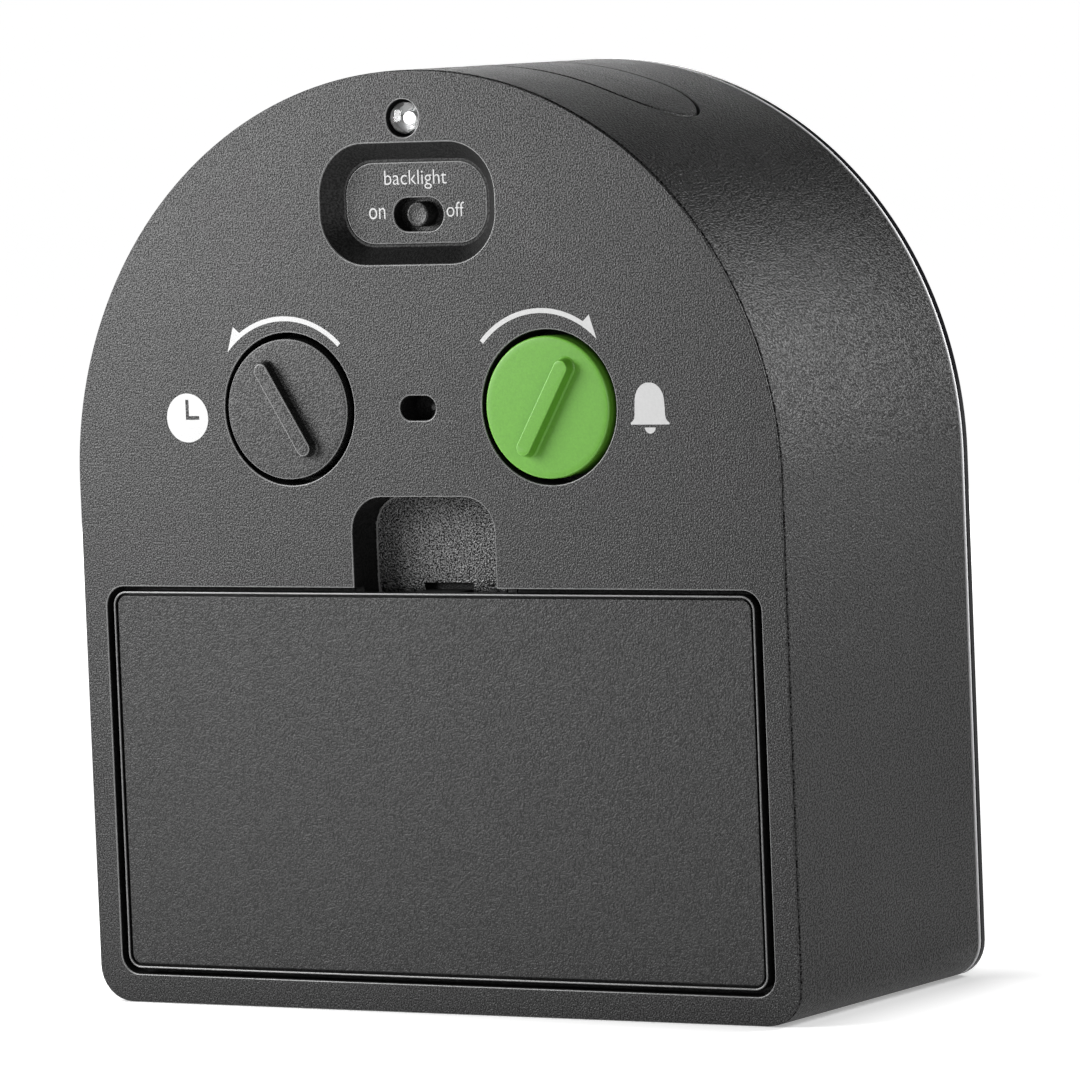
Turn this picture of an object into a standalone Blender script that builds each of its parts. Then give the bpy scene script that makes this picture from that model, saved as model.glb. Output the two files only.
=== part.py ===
"""Arch-shaped quartz alarm clock with setting knobs, light switch and battery bay at the back.

Metres, +Z up. The dial faces -Y, the rear cover faces +Y, and the clock stands on Z = 0.
"""

import math

import bmesh
import bpy
from mathutils import Matrix, Vector
from mathutils.geometry import delaunay_2d_cdt

MM = 0.001

# Case
WIDTH = 84.0 * MM
HEIGHT = 96.8 * MM
DEPTH = 40.3 * MM
CORNER_RADIUS = 3.8 * MM
WALL = 1.8 * MM
LEAST_CORNER = 0.4 * MM
BROKEN_EDGE = 0.15 * MM
SLEEVE_EDGE = 0.4 * MM

# Fits
SEAT = 0.3 * MM
RUNNING = 0.25 * MM
OVERLAP = 0.5 * MM

# Rear cover
COVER_LIP = 0.4 * MM
SHADOW_GAP = 0.4 * MM
COVER_SKIN = 2.0 * MM
POCKET_WALL = 1.4 * MM
SPIGOT_WALL = 1.1 * MM
SPIGOT_DEPTH = 2.6 * MM

# Front
BEZEL_EDGE = 0.8 * MM
BEZEL_FACE = 5.0 * MM
BEZEL_SPIGOT = 4.0 * MM
TRIM_WIDTH = 0.4 * MM
TRIM_GAP = 0.2 * MM
TRIM_DEPTH = 1.6 * MM
LENS_THICKNESS = 1.2 * MM
LENS_CLEAR = 1.0 * MM
DIAL_THICKNESS = 0.6 * MM
RING_FACE = 1.4 * MM
RING_SLOPE = 1.2 * MM
BULKHEAD = 1.4 * MM

# Hands, in the order second, minute, hour, alarm; their tips keep a distance from the case's outline
HAND_THICKNESS = 0.3 * MM
HAND_STEP = 0.7 * MM
SECOND_HAND_INSET = 11.0 * MM
SECOND_TAIL = 8.0 * MM
SECOND_HAND_WIDTH = 0.7 * MM
MINUTE_HAND_INSET = 13.0 * MM
MINUTE_HAND_WIDTH = 2.6 * MM
HOUR_HAND_INSET = 22.0 * MM
HOUR_HAND_WIDTH = 3.2 * MM
ALARM_HAND_INSET = 26.0 * MM
ALARM_HAND_WIDTH = 1.6 * MM
HAND_HUB = 1.3 * MM
REST_HOURS = 10
REST_MINUTES = 9
REST_SECONDS = 35
ALARM_HOURS = 6.5
HOUR_DEGREES = 30.0
MINUTE_DEGREES = 6.0

# Setting knobs
KNOB_SPREAD = 15.55 * MM
KNOB_DROP = 1.15 * MM
KNOB_RADIUS = 7.25 * MM
KNOB_GAP = 0.65 * MM
KNOB_PROUD = 0.35 * MM
KNOB_THICKNESS = 3.4 * MM
KNOB_EDGE = 0.4 * MM
HUB_RADIUS = 2.6 * MM
HUB_LENGTH = 1.6 * MM
WELL_DEPTH = 5.2 * MM
GRIP_LENGTH = 10.8 * MM
GRIP_WIDTH = 1.5 * MM
GRIP_HEIGHT = 1.4 * MM
TIME_GRIP_LEAN = 31.0
ALARM_GRIP_LEAN = -30.0
SHAFT_RADIUS = 1.2 * MM
PIVOT_RADIUS = 0.6 * MM

# Light switch
RECESS_BELOW_TOP = 13.6 * MM
RECESS_WIDTH = 20.9 * MM
RECESS_HEIGHT = 12.4 * MM
RECESS_CORNER = 5.4 * MM
RECESS_SLOPE = 2.1 * MM
RECESS_DEPTH = 2.0 * MM
SWITCH_DROP = 1.2 * MM
SWITCH_SLOT = 6.0 * MM
SWITCH_SLOT_HEIGHT = 3.45 * MM
SLIDER_RADIUS = 1.3 * MM
SLIDER_PROUD = 0.2 * MM
SLIDER_TRAVEL = 1.2 * MM
SLIDER_FLANGE = 1.0 * MM
SLIDER_TAIL = 2.2 * MM

# Light sensor and lamps, standard 3 mm parts
LAMP_RADIUS = 1.5 * MM
LAMP_FLANGE = 1.8 * MM
LAMP_FLANGE_LENGTH = 1.0 * MM
LAMP_LENGTH = 4.6 * MM
LEAD_RADIUS = 0.25 * MM
LEAD_SPREAD = 0.7 * MM
SENSOR_BELOW_TOP = 4.9 * MM
SENSOR_SUNK = 0.4 * MM
SENSOR_WALL = 0.7 * MM
LAMP_INSET = 10.1 * MM
LAMP_ANGLE = 45.0
LAMP_LEAD = 2.0 * MM

# Small slot between the knobs
SLOT_LENGTH = 4.3 * MM
SLOT_HEIGHT = 2.55 * MM
SLOT_DEPTH = 3.2 * MM
SLOT_POST = 0.45 * MM

# Battery door and thumb notch
DOOR_MARGIN = 3.2 * MM
DOOR_OPENING = 40.5 * MM
DOOR_CORNER = 1.9 * MM
DOOR_RECESS = 2.1 * MM
DOOR_THICKNESS = 1.8 * MM
DOOR_RIM = 0.6 * MM
DOOR_RIM_HEIGHT = 0.25 * MM
FRAME_DEPTH = 5.2 * MM
NOTCH_WIDTH = 17.1 * MM
NOTCH_HEIGHT = 9.5 * MM
NOTCH_DEPTH = 4.6 * MM
NOTCH_CORNER = 3.6 * MM
LATCH_WIDTH = 5.3 * MM
LATCH_DEPTH = 3.6 * MM
LATCH_HEIGHT = 2.4 * MM
LATCH_CLEAR = 0.5 * MM
HOOK_SPREAD = 20.0 * MM
HOOK_WIDTH = 6.0 * MM
HOOK_DEPTH = 1.1 * MM
HOOK_REACH = 0.6 * MM
HOOK_ROOT = 1.0 * MM

# Battery cells and contacts
CELL_DIAMETER = 14.5 * MM
CELL_LENGTH = 50.5 * MM
NUB_RADIUS = 2.7 * MM
NUB_LENGTH = 1.2 * MM
CELL_PLAY = 0.8 * MM
CONTACT_THICKNESS = 0.4 * MM
CONTACT_SIZE = 10.0 * MM
SPRING_LENGTH = 4.4 * MM
SPRING_WIRE = 0.3 * MM
SPRING_BASE = 4.2 * MM
SPRING_TIP = 2.4 * MM
SPRING_TURNS = 3
SPRING_STEPS = 10

# Movement
PLATE = 1.0 * MM
MIDDLE_PLATE = 0.7 * MM
WHEEL = 0.6 * MM
LAYER_GAP = 0.35 * MM
MAGNET_LENGTH = 1.0 * MM
PILLAR_RADIUS = 1.5 * MM
PILLAR_ANGLE = 74.0
PILLAR_DROP = 6.5 * MM
PILLAR_OUT = 1.5 * MM
GEAR_CLEAR = 1.5 * MM
PLATE_BORDER = 2.3 * MM
EAR = 4.0 * MM
SECOND_ARBOR = 0.4 * MM
TUBE_WALL = 0.4 * MM
THIN_ARBOR = 0.3 * MM
POST_RADIUS = 0.5 * MM

# Gear teeth
ADDENDUM = 0.85
DEDENDUM = 1.2
TOOTH_ROOT = 0.68
CENTRE_SLACK = 1.015
SET_TEETH = 10
MOTION_TEETH = 30
MOTION_PINION = 8
CANNON_TEETH = 10
HOUR_TEETH = 32
ALARM_SET_TEETH = 16
ALARM_TEETH = 32
THIRD_DISTANCE = 7.2 * MM
THIRD_ANGLE = 190.0
INTERMEDIATE_DISTANCE = 7.4 * MM
INTERMEDIATE_ANGLE = -60.0
ROTOR_DISTANCE = 6.4 * MM
PINION_TEETH = 6
SECOND_TEETH = 30
INTERMEDIATE_TEETH = 36
THIRD_TEETH = 48
CENTRE_TEETH = 45

# Motor
MAGNET_RADIUS = 1.6 * MM
STATOR_BORE = 2.0 * MM
STATOR_LEG = 1.4 * MM
STATOR_SPAN = 4.4 * MM
STATOR_HEAD = 2.6 * MM
COIL_DROP = 6.1 * MM
COIL_RADIUS = 1.5 * MM
COIL_BORE = 1.0 * MM

# Circuit board, top button and sounder
BOARD_SETBACK = 9.95 * MM
BOARD_THICKNESS = 1.6 * MM
BOARD_HALF_WIDTH = 22.0 * MM
BOARD_OVER_SHAFT = 7.7 * MM
BOARD_INSET = 4.0 * MM
BOSS_RADIUS = 2.2 * MM
BOSS_SPREAD = 18.0 * MM
BOSS_RISE = 4.8 * MM
SLIDE_BODY_WIDTH = 8.6 * MM
SLIDE_BODY_HEIGHT = 4.2 * MM
BUTTON_LENGTH = 43.2 * MM
BUTTON_WIDTH = 13.2 * MM
BUTTON_SETBACK = 20.8 * MM
BUTTON_FLANGE = 1.2 * MM
BUTTON_FLANGE_OUT = 1.0 * MM
BUTTON_TRAVEL = 1.5 * MM
BUTTON_SPAN = 84.0
STEM_RADIUS = 1.4 * MM
STEM_OFFSET = 3.4 * MM
STEM_CLEAR = 1.0 * MM
SNOOZE_BELOW_TOP = 13.0 * MM
SNOOZE_HALF = 3.0 * MM
SNOOZE_HEIGHT = 5.0 * MM
PLUNGER_RADIUS = 1.2 * MM
PLUNGER_DEPTH = 2.2 * MM
BUZZER_RADIUS = 7.0 * MM
BUZZER_LENGTH = 4.4 * MM
BUZZER_MOUTH = 1.5 * MM

# Screws
COVER_POST = 2.2 * MM
COVER_POST_RISE = 4.3 * MM
COVER_SCREW_HEAD = 1.9 * MM
COVER_SCREW_SHANK = 0.95 * MM
COVER_SCREW_LENGTH = 9.0 * MM
SMALL_SCREW_HEAD = 1.4 * MM
SMALL_SCREW_SHANK = 0.6 * MM
HEAD_HEIGHT = 1.0 * MM
MOUNT_DROP = 5.0 * MM

# Facets
ARCH_STEPS = 30
CORNER_STEPS = 3
ROUND_STEPS = 26
HIDDEN_STEPS = 14
SMALL_STEPS = 10
TINY_STEPS = 6
FACET_TURN = 7.0
SMOOTH_ANGLE = math.radians(35)
WELD = 1e-7
FILL_WITH_HOLES = 5

# Levels along Y, from the front to the back
Y_FRONT = -(DEPTH + KNOB_PROUD + GRIP_HEIGHT) / 2
Y_BACK = Y_FRONT + DEPTH
BEZEL_REAR = Y_FRONT + BEZEL_EDGE
TRIM_FRONT = BEZEL_REAR + BROKEN_EDGE / 2
TRIM_REAR = TRIM_FRONT + TRIM_WIDTH
SLEEVE_FRONT = TRIM_REAR + TRIM_GAP
SLEEVE_REAR = Y_BACK - COVER_LIP - SHADOW_GAP
COVER_INSIDE = Y_BACK - COVER_SKIN
LENS_FRONT = BEZEL_REAR + RUNNING
LENS_REAR = LENS_FRONT + LENS_THICKNESS
SECOND_LEVEL = LENS_REAR + LENS_CLEAR
MINUTE_LEVEL = SECOND_LEVEL + HAND_STEP
HOUR_LEVEL = MINUTE_LEVEL + HAND_STEP
ALARM_LEVEL = HOUR_LEVEL + HAND_STEP
DIAL_FRONT = ALARM_LEVEL + HAND_STEP
DIAL_REAR = DIAL_FRONT + DIAL_THICKNESS
BULKHEAD_FRONT = DIAL_REAR + SEAT
BULKHEAD_REAR = BULKHEAD_FRONT + BULKHEAD
FRONT_PLATE = BULKHEAD_REAR + SEAT
LAYER_STEP = WHEEL + LAYER_GAP
LAYER_A = FRONT_PLATE + PLATE + SEAT
LAYER_B = LAYER_A + LAYER_STEP
LAYER_C = LAYER_B + LAYER_STEP
MID_PLATE = LAYER_C + WHEEL + SEAT
LAYER_D = MID_PLATE + MIDDLE_PLATE + SEAT
LAYER_E = LAYER_D + LAYER_STEP
LAYER_F = LAYER_E + LAYER_STEP
LAYER_G = LAYER_F + LAYER_STEP
LAYER_H = LAYER_G + LAYER_STEP
BACK_PLATE = LAYER_H + MAGNET_LENGTH + SEAT
BACK_PLATE_REAR = BACK_PLATE + PLATE

# Places in the plane of the dial, as (x, z)
ARCH_RADIUS = WIDTH / 2
ARCH_Z = HEIGHT - ARCH_RADIUS
CENTRE = (0.0, ARCH_Z)
DOOR_TOP = DOOR_MARGIN + DOOR_OPENING
DOOR_MIDDLE = DOOR_MARGIN + DOOR_OPENING / 2
DOOR_WIDTH = WIDTH - 2 * DOOR_MARGIN
LEDGE = Y_BACK - DOOR_RECESS
DOOR_INSIDE = Y_BACK - DOOR_THICKNESS
RECESS = (0.0, HEIGHT - RECESS_BELOW_TOP)
KNOB_Z = (DOOR_TOP + RECESS[1]) / 2 - KNOB_DROP
TIME_AXIS = (KNOB_SPREAD, KNOB_Z)
ALARM_AXIS = (-KNOB_SPREAD, KNOB_Z)
KNOB_DISTANCE = math.hypot(KNOB_SPREAD, KNOB_Z - ARCH_Z)
SWITCH_Z = RECESS[1] - SWITCH_DROP
SENSOR = (0.0, HEIGHT - SENSOR_BELOW_TOP)
SNOOZE_TOP = HEIGHT - SNOOZE_BELOW_TOP
BOARD_BOTTOM = KNOB_Z + BOARD_OVER_SHAFT
BOARD_ARC = ARCH_RADIUS - BOARD_INSET

# Gear modules that follow from the axis distances
SET_DISTANCE = KNOB_DISTANCE * CENTRE_SLACK / 2
SET_MODULE = 2 * SET_DISTANCE / (SET_TEETH + MOTION_TEETH)
ALARM_MODULE = 2 * KNOB_DISTANCE / (ALARM_SET_TEETH + ALARM_TEETH)
THIRD_MODULE = 2 * THIRD_DISTANCE / (PINION_TEETH + THIRD_TEETH)
CENTRE_MODULE = 2 * THIRD_DISTANCE / (PINION_TEETH + CENTRE_TEETH)
SECOND_MODULE = 2 * INTERMEDIATE_DISTANCE / (PINION_TEETH + SECOND_TEETH)
ROTOR_MODULE = 2 * ROTOR_DISTANCE / (PINION_TEETH + INTERMEDIATE_TEETH)
ALARM_TIP = ALARM_MODULE * (ALARM_TEETH / 2 + ADDENDUM)

# Concentric arbors, from the inside out
MINUTE_BORE = SECOND_ARBOR + RUNNING
MINUTE_TUBE = MINUTE_BORE + TUBE_WALL
HOUR_BORE = MINUTE_TUBE + RUNNING
HOUR_TUBE = HOUR_BORE + TUBE_WALL
ALARM_BORE = HOUR_TUBE + RUNNING
ALARM_TUBE = ALARM_BORE + TUBE_WALL


def polar(origin, distance, degrees):
    """The (x, z) point at a distance and angle from another."""
    angle = math.radians(degrees)
    return (origin[0] + distance * math.cos(angle), origin[1] + distance * math.sin(angle))


def bearing(start, end):
    """The angle from one (x, z) point to another, in degrees."""
    return math.degrees(math.atan2(end[1] - start[1], end[0] - start[0]))


def motion_axis():
    """The motion wheel's axis, at the same distance from the hands' axis and the time knob's axis."""
    middle = polar(CENTRE, KNOB_DISTANCE / 2, bearing(CENTRE, TIME_AXIS))
    aside = math.sqrt(SET_DISTANCE**2 - (KNOB_DISTANCE / 2) ** 2)
    return polar(middle, aside, bearing(CENTRE, TIME_AXIS) - 90)


MOTION_AXIS = motion_axis()
THIRD_AXIS = polar(CENTRE, THIRD_DISTANCE, THIRD_ANGLE)
INTERMEDIATE_AXIS = polar(CENTRE, INTERMEDIATE_DISTANCE, INTERMEDIATE_ANGLE)
ROTOR_AXIS = polar(INTERMEDIATE_AXIS, ROTOR_DISTANCE, 0.0)
PILLARS = [
    polar(CENTRE, ALARM_TIP + PILLAR_RADIUS + GEAR_CLEAR, PILLAR_ANGLE),
    polar(CENTRE, ALARM_TIP + PILLAR_RADIUS + GEAR_CLEAR, 180 - PILLAR_ANGLE),
    (KNOB_SPREAD + PILLAR_OUT, ARCH_Z - PILLAR_DROP),
    (-KNOB_SPREAD - PILLAR_OUT, ARCH_Z - PILLAR_DROP),
]
SCREWED_PILLARS = [PILLARS[2], PILLARS[1]]
PLATE_HALF = KNOB_SPREAD + PILLAR_OUT + PLATE_BORDER
PLATE_TOP = PILLARS[0][1] + PLATE_BORDER
PLATE_BOTTOM = ARCH_Z - PILLAR_DROP - PLATE_BORDER

for old in list(bpy.data.objects):
    bpy.data.objects.remove(old, do_unlink=True)
PARTS = bpy.data.collections.new("alarm_clock")
CUTTERS = bpy.data.collections.new("cutters")
for collection in (PARTS, CUTTERS):
    bpy.context.scene.collection.children.link(collection)


def material(name, colour, roughness, metallic=0.0, alpha=1.0):
    """A Principled material with one colour and finish."""
    made = bpy.data.materials.new(name)
    made.use_nodes = True
    shader = made.node_tree.nodes["Principled BSDF"]
    shader.inputs["Base Color"].default_value = (*colour, 1.0)
    shader.inputs["Roughness"].default_value = roughness
    shader.inputs["Metallic"].default_value = metallic
    shader.inputs["Alpha"].default_value = alpha
    return made


CHARCOAL = material("charcoal_plastic", (0.055, 0.055, 0.058), 0.55)
BLACK = material("black_plastic", (0.03, 0.03, 0.031), 0.4)
GLOSS = material("gloss_black", (0.01, 0.01, 0.011), 0.08)
GREEN = material("green_plastic", (0.13, 0.42, 0.06), 0.4)
CHROME = material("chrome", (0.8, 0.8, 0.8), 0.12, 1.0)
CLEAR = material("clear_plastic", (0.95, 0.97, 0.97), 0.05, 0.0, 0.3)
WHITE = material("white_plastic", (0.75, 0.75, 0.72), 0.45)
DIAL_BLACK = material("dial_black", (0.015, 0.015, 0.016), 0.6)
BRASS = material("brass", (0.7, 0.5, 0.2), 0.3, 1.0)
STEEL = material("steel", (0.6, 0.6, 0.6), 0.3, 1.0)
COPPER = material("copper_wire", (0.7, 0.3, 0.15), 0.35, 1.0)
BOARD_GREEN = material("circuit_board", (0.03, 0.15, 0.06), 0.45)
CELL_SLEEVE = material("cell_sleeve", (0.25, 0.27, 0.3), 0.35)


def arc(centre, radius, start, end, steps):
    """Points along a round stretch from one angle to another, in degrees, with both ends."""
    return [polar(centre, radius, start + (end - start) * step / steps) for step in range(steps + 1)]


def circle(centre, radius, steps=ROUND_STEPS):
    """A full circle, turned a little so that the flats of two holes never lie in one line."""
    return arc(centre, radius, FACET_TURN, FACET_TURN + 360, steps)[:-1]


def arch_outline(inset):
    """The case's outline, drawn in by a distance: straight foot, two small corners and a half circle."""
    half = ARCH_RADIUS - inset
    corner = max(CORNER_RADIUS - inset, LEAST_CORNER)
    right = arc((half - corner, inset + corner), corner, -90, 0, CORNER_STEPS)
    top = arc(CENTRE, half, 0, 180, ARCH_STEPS)
    left = arc((corner - half, inset + corner), corner, 180, 270, CORNER_STEPS)
    return right + top + left


def rounded(centre, width, height, radius, steps=CORNER_STEPS):
    """A rectangle with round corners."""
    across = width / 2 - radius
    up = height / 2 - radius
    outline = []
    for turn, (side, rise) in enumerate(((1, 1), (-1, 1), (-1, -1), (1, -1))):
        corner = (centre[0] + side * across, centre[1] + rise * up)
        outline += arc(corner, radius, turn * 90, turn * 90 + 90, steps)
    return outline


def stadium(centre, length, width, steps=8):
    """A slot shape with round ends, along X."""
    reach = (length - width) / 2
    right = arc((centre[0] + reach, centre[1]), width / 2, -90, 90, steps)
    left = arc((centre[0] - reach, centre[1]), width / 2, 90, 270, steps)
    return right + left


def block(centre, width, height):
    """A plain rectangle."""
    half = width / 2
    rise = height / 2
    corners = ((-half, -rise), (half, -rise), (half, rise), (-half, rise))
    return [(centre[0] + x, centre[1] + z) for x, z in corners]


def turn_outline(outline, centre, degrees):
    """The outline turned about a point."""
    angle = math.radians(degrees)
    turned_points = []
    for x, z in outline:
        along = x - centre[0]
        up = z - centre[1]
        turned_points.append(
            (
                centre[0] + along * math.cos(angle) - up * math.sin(angle),
                centre[1] + along * math.sin(angle) + up * math.cos(angle),
            )
        )
    return turned_points


def gear(teeth, module, phase, centre, fine=False):
    """A spur gear's outline, one tooth along the phase angle; fine teeth meet at their roots."""
    pitch = teeth * module / 2
    tip = pitch + ADDENDUM * module
    root = pitch - DEDENDUM * module
    share = 180 / teeth
    outline = []
    for tooth in range(teeth):
        middle = phase + 2 * share * tooth
        outline.append(polar(centre, tip, middle))
        if fine:
            outline.append(polar(centre, root, middle + share))
        else:
            outline.append(polar(centre, root, middle + TOOTH_ROOT * share))
            outline.append(polar(centre, root, middle + (2 - TOOTH_ROOT) * share))
    return outline


def meshed(teeth, phase, other_teeth, direction):
    """The phase that puts the other gear's gap against this gear's tooth, in the given direction."""
    return direction + 180 - (phase - direction) * teeth / other_teeth - 180 / other_teeth


def finished(mesh):
    """The mesh welded, facing outwards and shaded smooth except at its edges."""
    shape = bmesh.new()
    shape.from_mesh(mesh)
    bmesh.ops.remove_doubles(shape, verts=shape.verts, dist=WELD)
    bmesh.ops.recalc_face_normals(shape, faces=shape.faces)
    shape.to_mesh(mesh)
    shape.free()
    mesh.shade_smooth()
    mesh.set_sharp_from_angle(angle=SMOOTH_ANGLE)
    return mesh


def place(name, mesh, finish):
    """A sub-part with its material or, with no material, a helper that shapes other pieces."""
    made = bpy.data.objects.new(name, mesh)
    if finish is None:
        CUTTERS.objects.link(made)
        made.hide_render = True
        made.display_type = "WIRE"
    else:
        PARTS.objects.link(made)
        mesh.materials.append(finish)
    return made


def baked(guide, matrix):
    """A guide's evaluated shape as a welded mesh; the guide is removed."""
    bpy.context.scene.collection.objects.link(guide)
    graph = bpy.context.evaluated_depsgraph_get()
    mesh = bpy.data.meshes.new_from_object(guide.evaluated_get(graph))
    bpy.data.objects.remove(guide)
    mesh.transform(matrix)
    return finished(mesh)


def plate(name, outlines, near, far, finish=None, upright=False):
    """A flat outline with any holes, from one Y level to another, or between two heights if upright."""
    points = []
    loops = []
    for outline in outlines:
        loops.append(range(len(points), len(points) + len(outline)))
        points += [Vector(point) for point in outline]
    filled = delaunay_2d_cdt(points, [], [list(loop) for loop in loops], FILL_WITH_HOLES, WELD)
    shape = bmesh.new()
    for level in (near, far):
        corners = [shape.verts.new((x, y, level)) for x, y in filled[0]]
        for face in filled[2]:
            shape.faces.new([corners[index] for index in face])
    for loop in loops:
        for index in loop:
            low = points[index]
            high = points[index + 1 if index + 1 in loop else loop[0]]
            wall = ((*low, near), (*high, near), (*high, far), (*low, far))
            shape.faces.new([shape.verts.new(corner) for corner in wall])
    mesh = bpy.data.meshes.new(name)
    shape.to_mesh(mesh)
    shape.free()
    if not upright:
        mesh.transform(Matrix(((1, 0, 0, 0), (0, 0, 1, 0), (0, 1, 0, 0), (0, 0, 0, 1))))
    return place(name, finished(mesh), finish)


def turned(name, profile, centre, finish=None, steps=ROUND_STEPS, hollow=False):
    """A profile of (radius, y) points, from the back to the front, turned about an axis along Y."""
    mesh = bpy.data.meshes.new(name)
    edges = [(index, index + 1) for index in range(len(profile) - 1)]
    if hollow:
        edges.append((len(profile) - 1, 0))
    mesh.from_pydata([(radius, 0, y) for radius, y in profile], edges, [])
    guide = bpy.data.objects.new(name, mesh)
    screw = guide.modifiers.new("turn", "SCREW")
    screw.steps = steps
    screw.render_steps = steps
    screw.use_merge_vertices = True
    screw.merge_threshold = WELD
    matrix = Matrix.Translation((centre[0], 0, centre[1])) @ Matrix.Rotation(-math.pi / 2, 4, "X")
    return place(name, baked(guide, matrix), finish)


def rod(name, radius, near, far, centre, finish=None, steps=SMALL_STEPS):
    """A plain round bar along Y."""
    return turned(name, [(0, far), (radius, far), (radius, near), (0, near)], centre, finish, steps)


def loft(name, sections, finish=None, ring=False):
    """A solid through (outline, y) sections with as many points each; a ring closes on its first section."""
    shape = bmesh.new()
    loops = [[shape.verts.new((x, y, z)) for x, z in outline] for outline, y in sections]
    pairs = list(zip(loops, loops[1:]))
    if ring:
        pairs.append((loops[-1], loops[0]))
    else:
        shape.faces.new(loops[0])
        shape.faces.new(loops[-1])
    for near, far in pairs:
        count = len(near)
        for index in range(count):
            after = (index + 1) % count
            shape.faces.new((near[index], near[after], far[after], far[index]))
    mesh = bpy.data.meshes.new(name)
    shape.to_mesh(mesh)
    shape.free()
    return place(name, finished(mesh), finish)


def arch_sections(steps):
    """Sections of the case outline from (inset, y) pairs."""
    return [(arch_outline(inset), y) for inset, y in steps]


def shape_with(target, operation, tools):
    """Joins helpers to a piece, cuts them from it or keeps what they share."""
    for tool in tools:
        modifier = target.modifiers.new(tool.name, "BOOLEAN")
        modifier.operation = operation
        modifier.object = tool
    return target


def set_axis(piece, x, y, z):
    """Moves a piece's origin to a point on its joint's axis; the shape stays where it is."""
    piece.data.transform(Matrix.Translation((-x, -y, -z)))
    piece.location = (x, y, z)
    return piece


def case_sleeve():
    """The arch-shaped body, its bulkhead behind the dial, and the posts for the cover's screws."""
    sleeve = loft(
        "case_sleeve",
        arch_sections(
            [
                (0, SLEEVE_FRONT),
                (0, SLEEVE_REAR - SLEEVE_EDGE),
                (SLEEVE_EDGE, SLEEVE_REAR),
                (WALL, SLEEVE_REAR),
                (WALL, SLEEVE_FRONT),
            ]
        ),
        CHARCOAL,
        ring=True,
    )
    skirt = arch_outline(WALL - OVERLAP)
    joins = [loft("bulkhead", [(skirt, BULKHEAD_FRONT), (skirt, BULKHEAD_REAR)])]
    opening = rounded(
        (0, (PLATE_TOP + PLATE_BOTTOM) / 2 - PLATE_BORDER / 2),
        2 * PLATE_HALF - PLATE_BORDER,
        PLATE_TOP - PLATE_BOTTOM - PLATE_BORDER,
        PLATE_BORDER,
    )
    near = BULKHEAD_FRONT - OVERLAP
    far = BULKHEAD_REAR + OVERLAP
    cuts = [plate("movement_opening", [opening], near, far)]
    for index, centre in enumerate(lamp_places()):
        cuts.append(rod(f"lamp_hole_{index}", LAMP_RADIUS + SEAT, near, far, centre))
    for index, centre in enumerate(mount_places()):
        cuts.append(rod(f"mount_hole_{index}", SMALL_SCREW_SHANK + SEAT, near, far, centre, steps=TINY_STEPS))
    pill = stadium((0, button_y()), BUTTON_LENGTH, BUTTON_WIDTH)
    cuts.append(plate("button_opening", [pill], ARCH_Z, HEIGHT + WALL, upright=True))
    for index, centre in enumerate(cover_posts()):
        end = Y_BACK - FRAME_DEPTH - SEAT
        joins.append(rod(f"cover_post_{index}", COVER_POST, BULKHEAD_REAR - OVERLAP, end, centre))
        pilot = COVER_SCREW_SHANK + SEAT
        start = end - COVER_SCREW_LENGTH
        cuts.append(rod(f"cover_pilot_{index}", pilot, start, end + OVERLAP, centre, steps=TINY_STEPS))
    shape_with(sleeve, "UNION", joins)
    shape_with(sleeve, "DIFFERENCE", cuts)


def lamp_places():
    return [polar(CENTRE, ARCH_RADIUS - LAMP_INSET, angle) for angle in (LAMP_ANGLE, 180 - LAMP_ANGLE)]


def mount_places():
    return [(side * (PLATE_HALF + EAR / 2), ARCH_Z - MOUNT_DROP) for side in (1, -1)]


def cover_posts():
    """The four cover screws, behind the door's corners, midway between the bay and the opening's sides."""
    across = (bay_length() / 2 + POCKET_WALL + DOOR_WIDTH / 2) / 2
    heights = (DOOR_MARGIN + COVER_POST_RISE, DOOR_TOP - COVER_POST_RISE)
    return [(side * across, height) for height in heights for side in (1, -1)]


def button_y():
    return Y_BACK - BUTTON_SETBACK


def front_pieces():
    """Bezel, bright trim, lens, tapered dial ring and dial, all on the case's outline."""
    spigot = WALL + SEAT
    spigot_inside = spigot + SPIGOT_WALL
    spigot_rear = BEZEL_REAR + BEZEL_SPIGOT
    loft(
        "front_bezel",
        arch_sections(
            [
                (BROKEN_EDGE, Y_FRONT),
                (0, Y_FRONT + BROKEN_EDGE),
                (0, BEZEL_REAR),
                (spigot, BEZEL_REAR),
                (spigot, spigot_rear),
                (spigot_inside, spigot_rear),
                (spigot_inside, BEZEL_REAR),
                (BEZEL_FACE, BEZEL_REAR),
                (BEZEL_FACE, Y_FRONT),
            ]
        ),
        GLOSS,
        ring=True,
    )
    trim = [(0, TRIM_FRONT), (0, TRIM_REAR), (TRIM_DEPTH, TRIM_REAR), (TRIM_DEPTH, TRIM_FRONT)]
    loft("trim_ring", arch_sections(trim), CHROME, ring=True)
    lens_inset = spigot_inside + RUNNING
    loft("lens", arch_sections([(lens_inset, LENS_FRONT), (lens_inset, LENS_REAR)]), CLEAR)
    ring_front = LENS_REAR + RUNNING
    ring_rear = DIAL_FRONT - SEAT
    ring = [
        (lens_inset, ring_front),
        (lens_inset, ring_rear),
        (lens_inset + RING_FACE + RING_SLOPE, ring_rear),
        (lens_inset + RING_FACE, ring_front),
    ]
    loft("dial_ring", arch_sections(ring), DIAL_BLACK, ring=True)
    dial_hole = circle(CENTRE, ALARM_TUBE + SEAT, SMALL_STEPS)
    plate("dial", [arch_outline(WALL + SEAT), dial_hole], DIAL_FRONT, DIAL_REAR, DIAL_BLACK)


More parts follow.
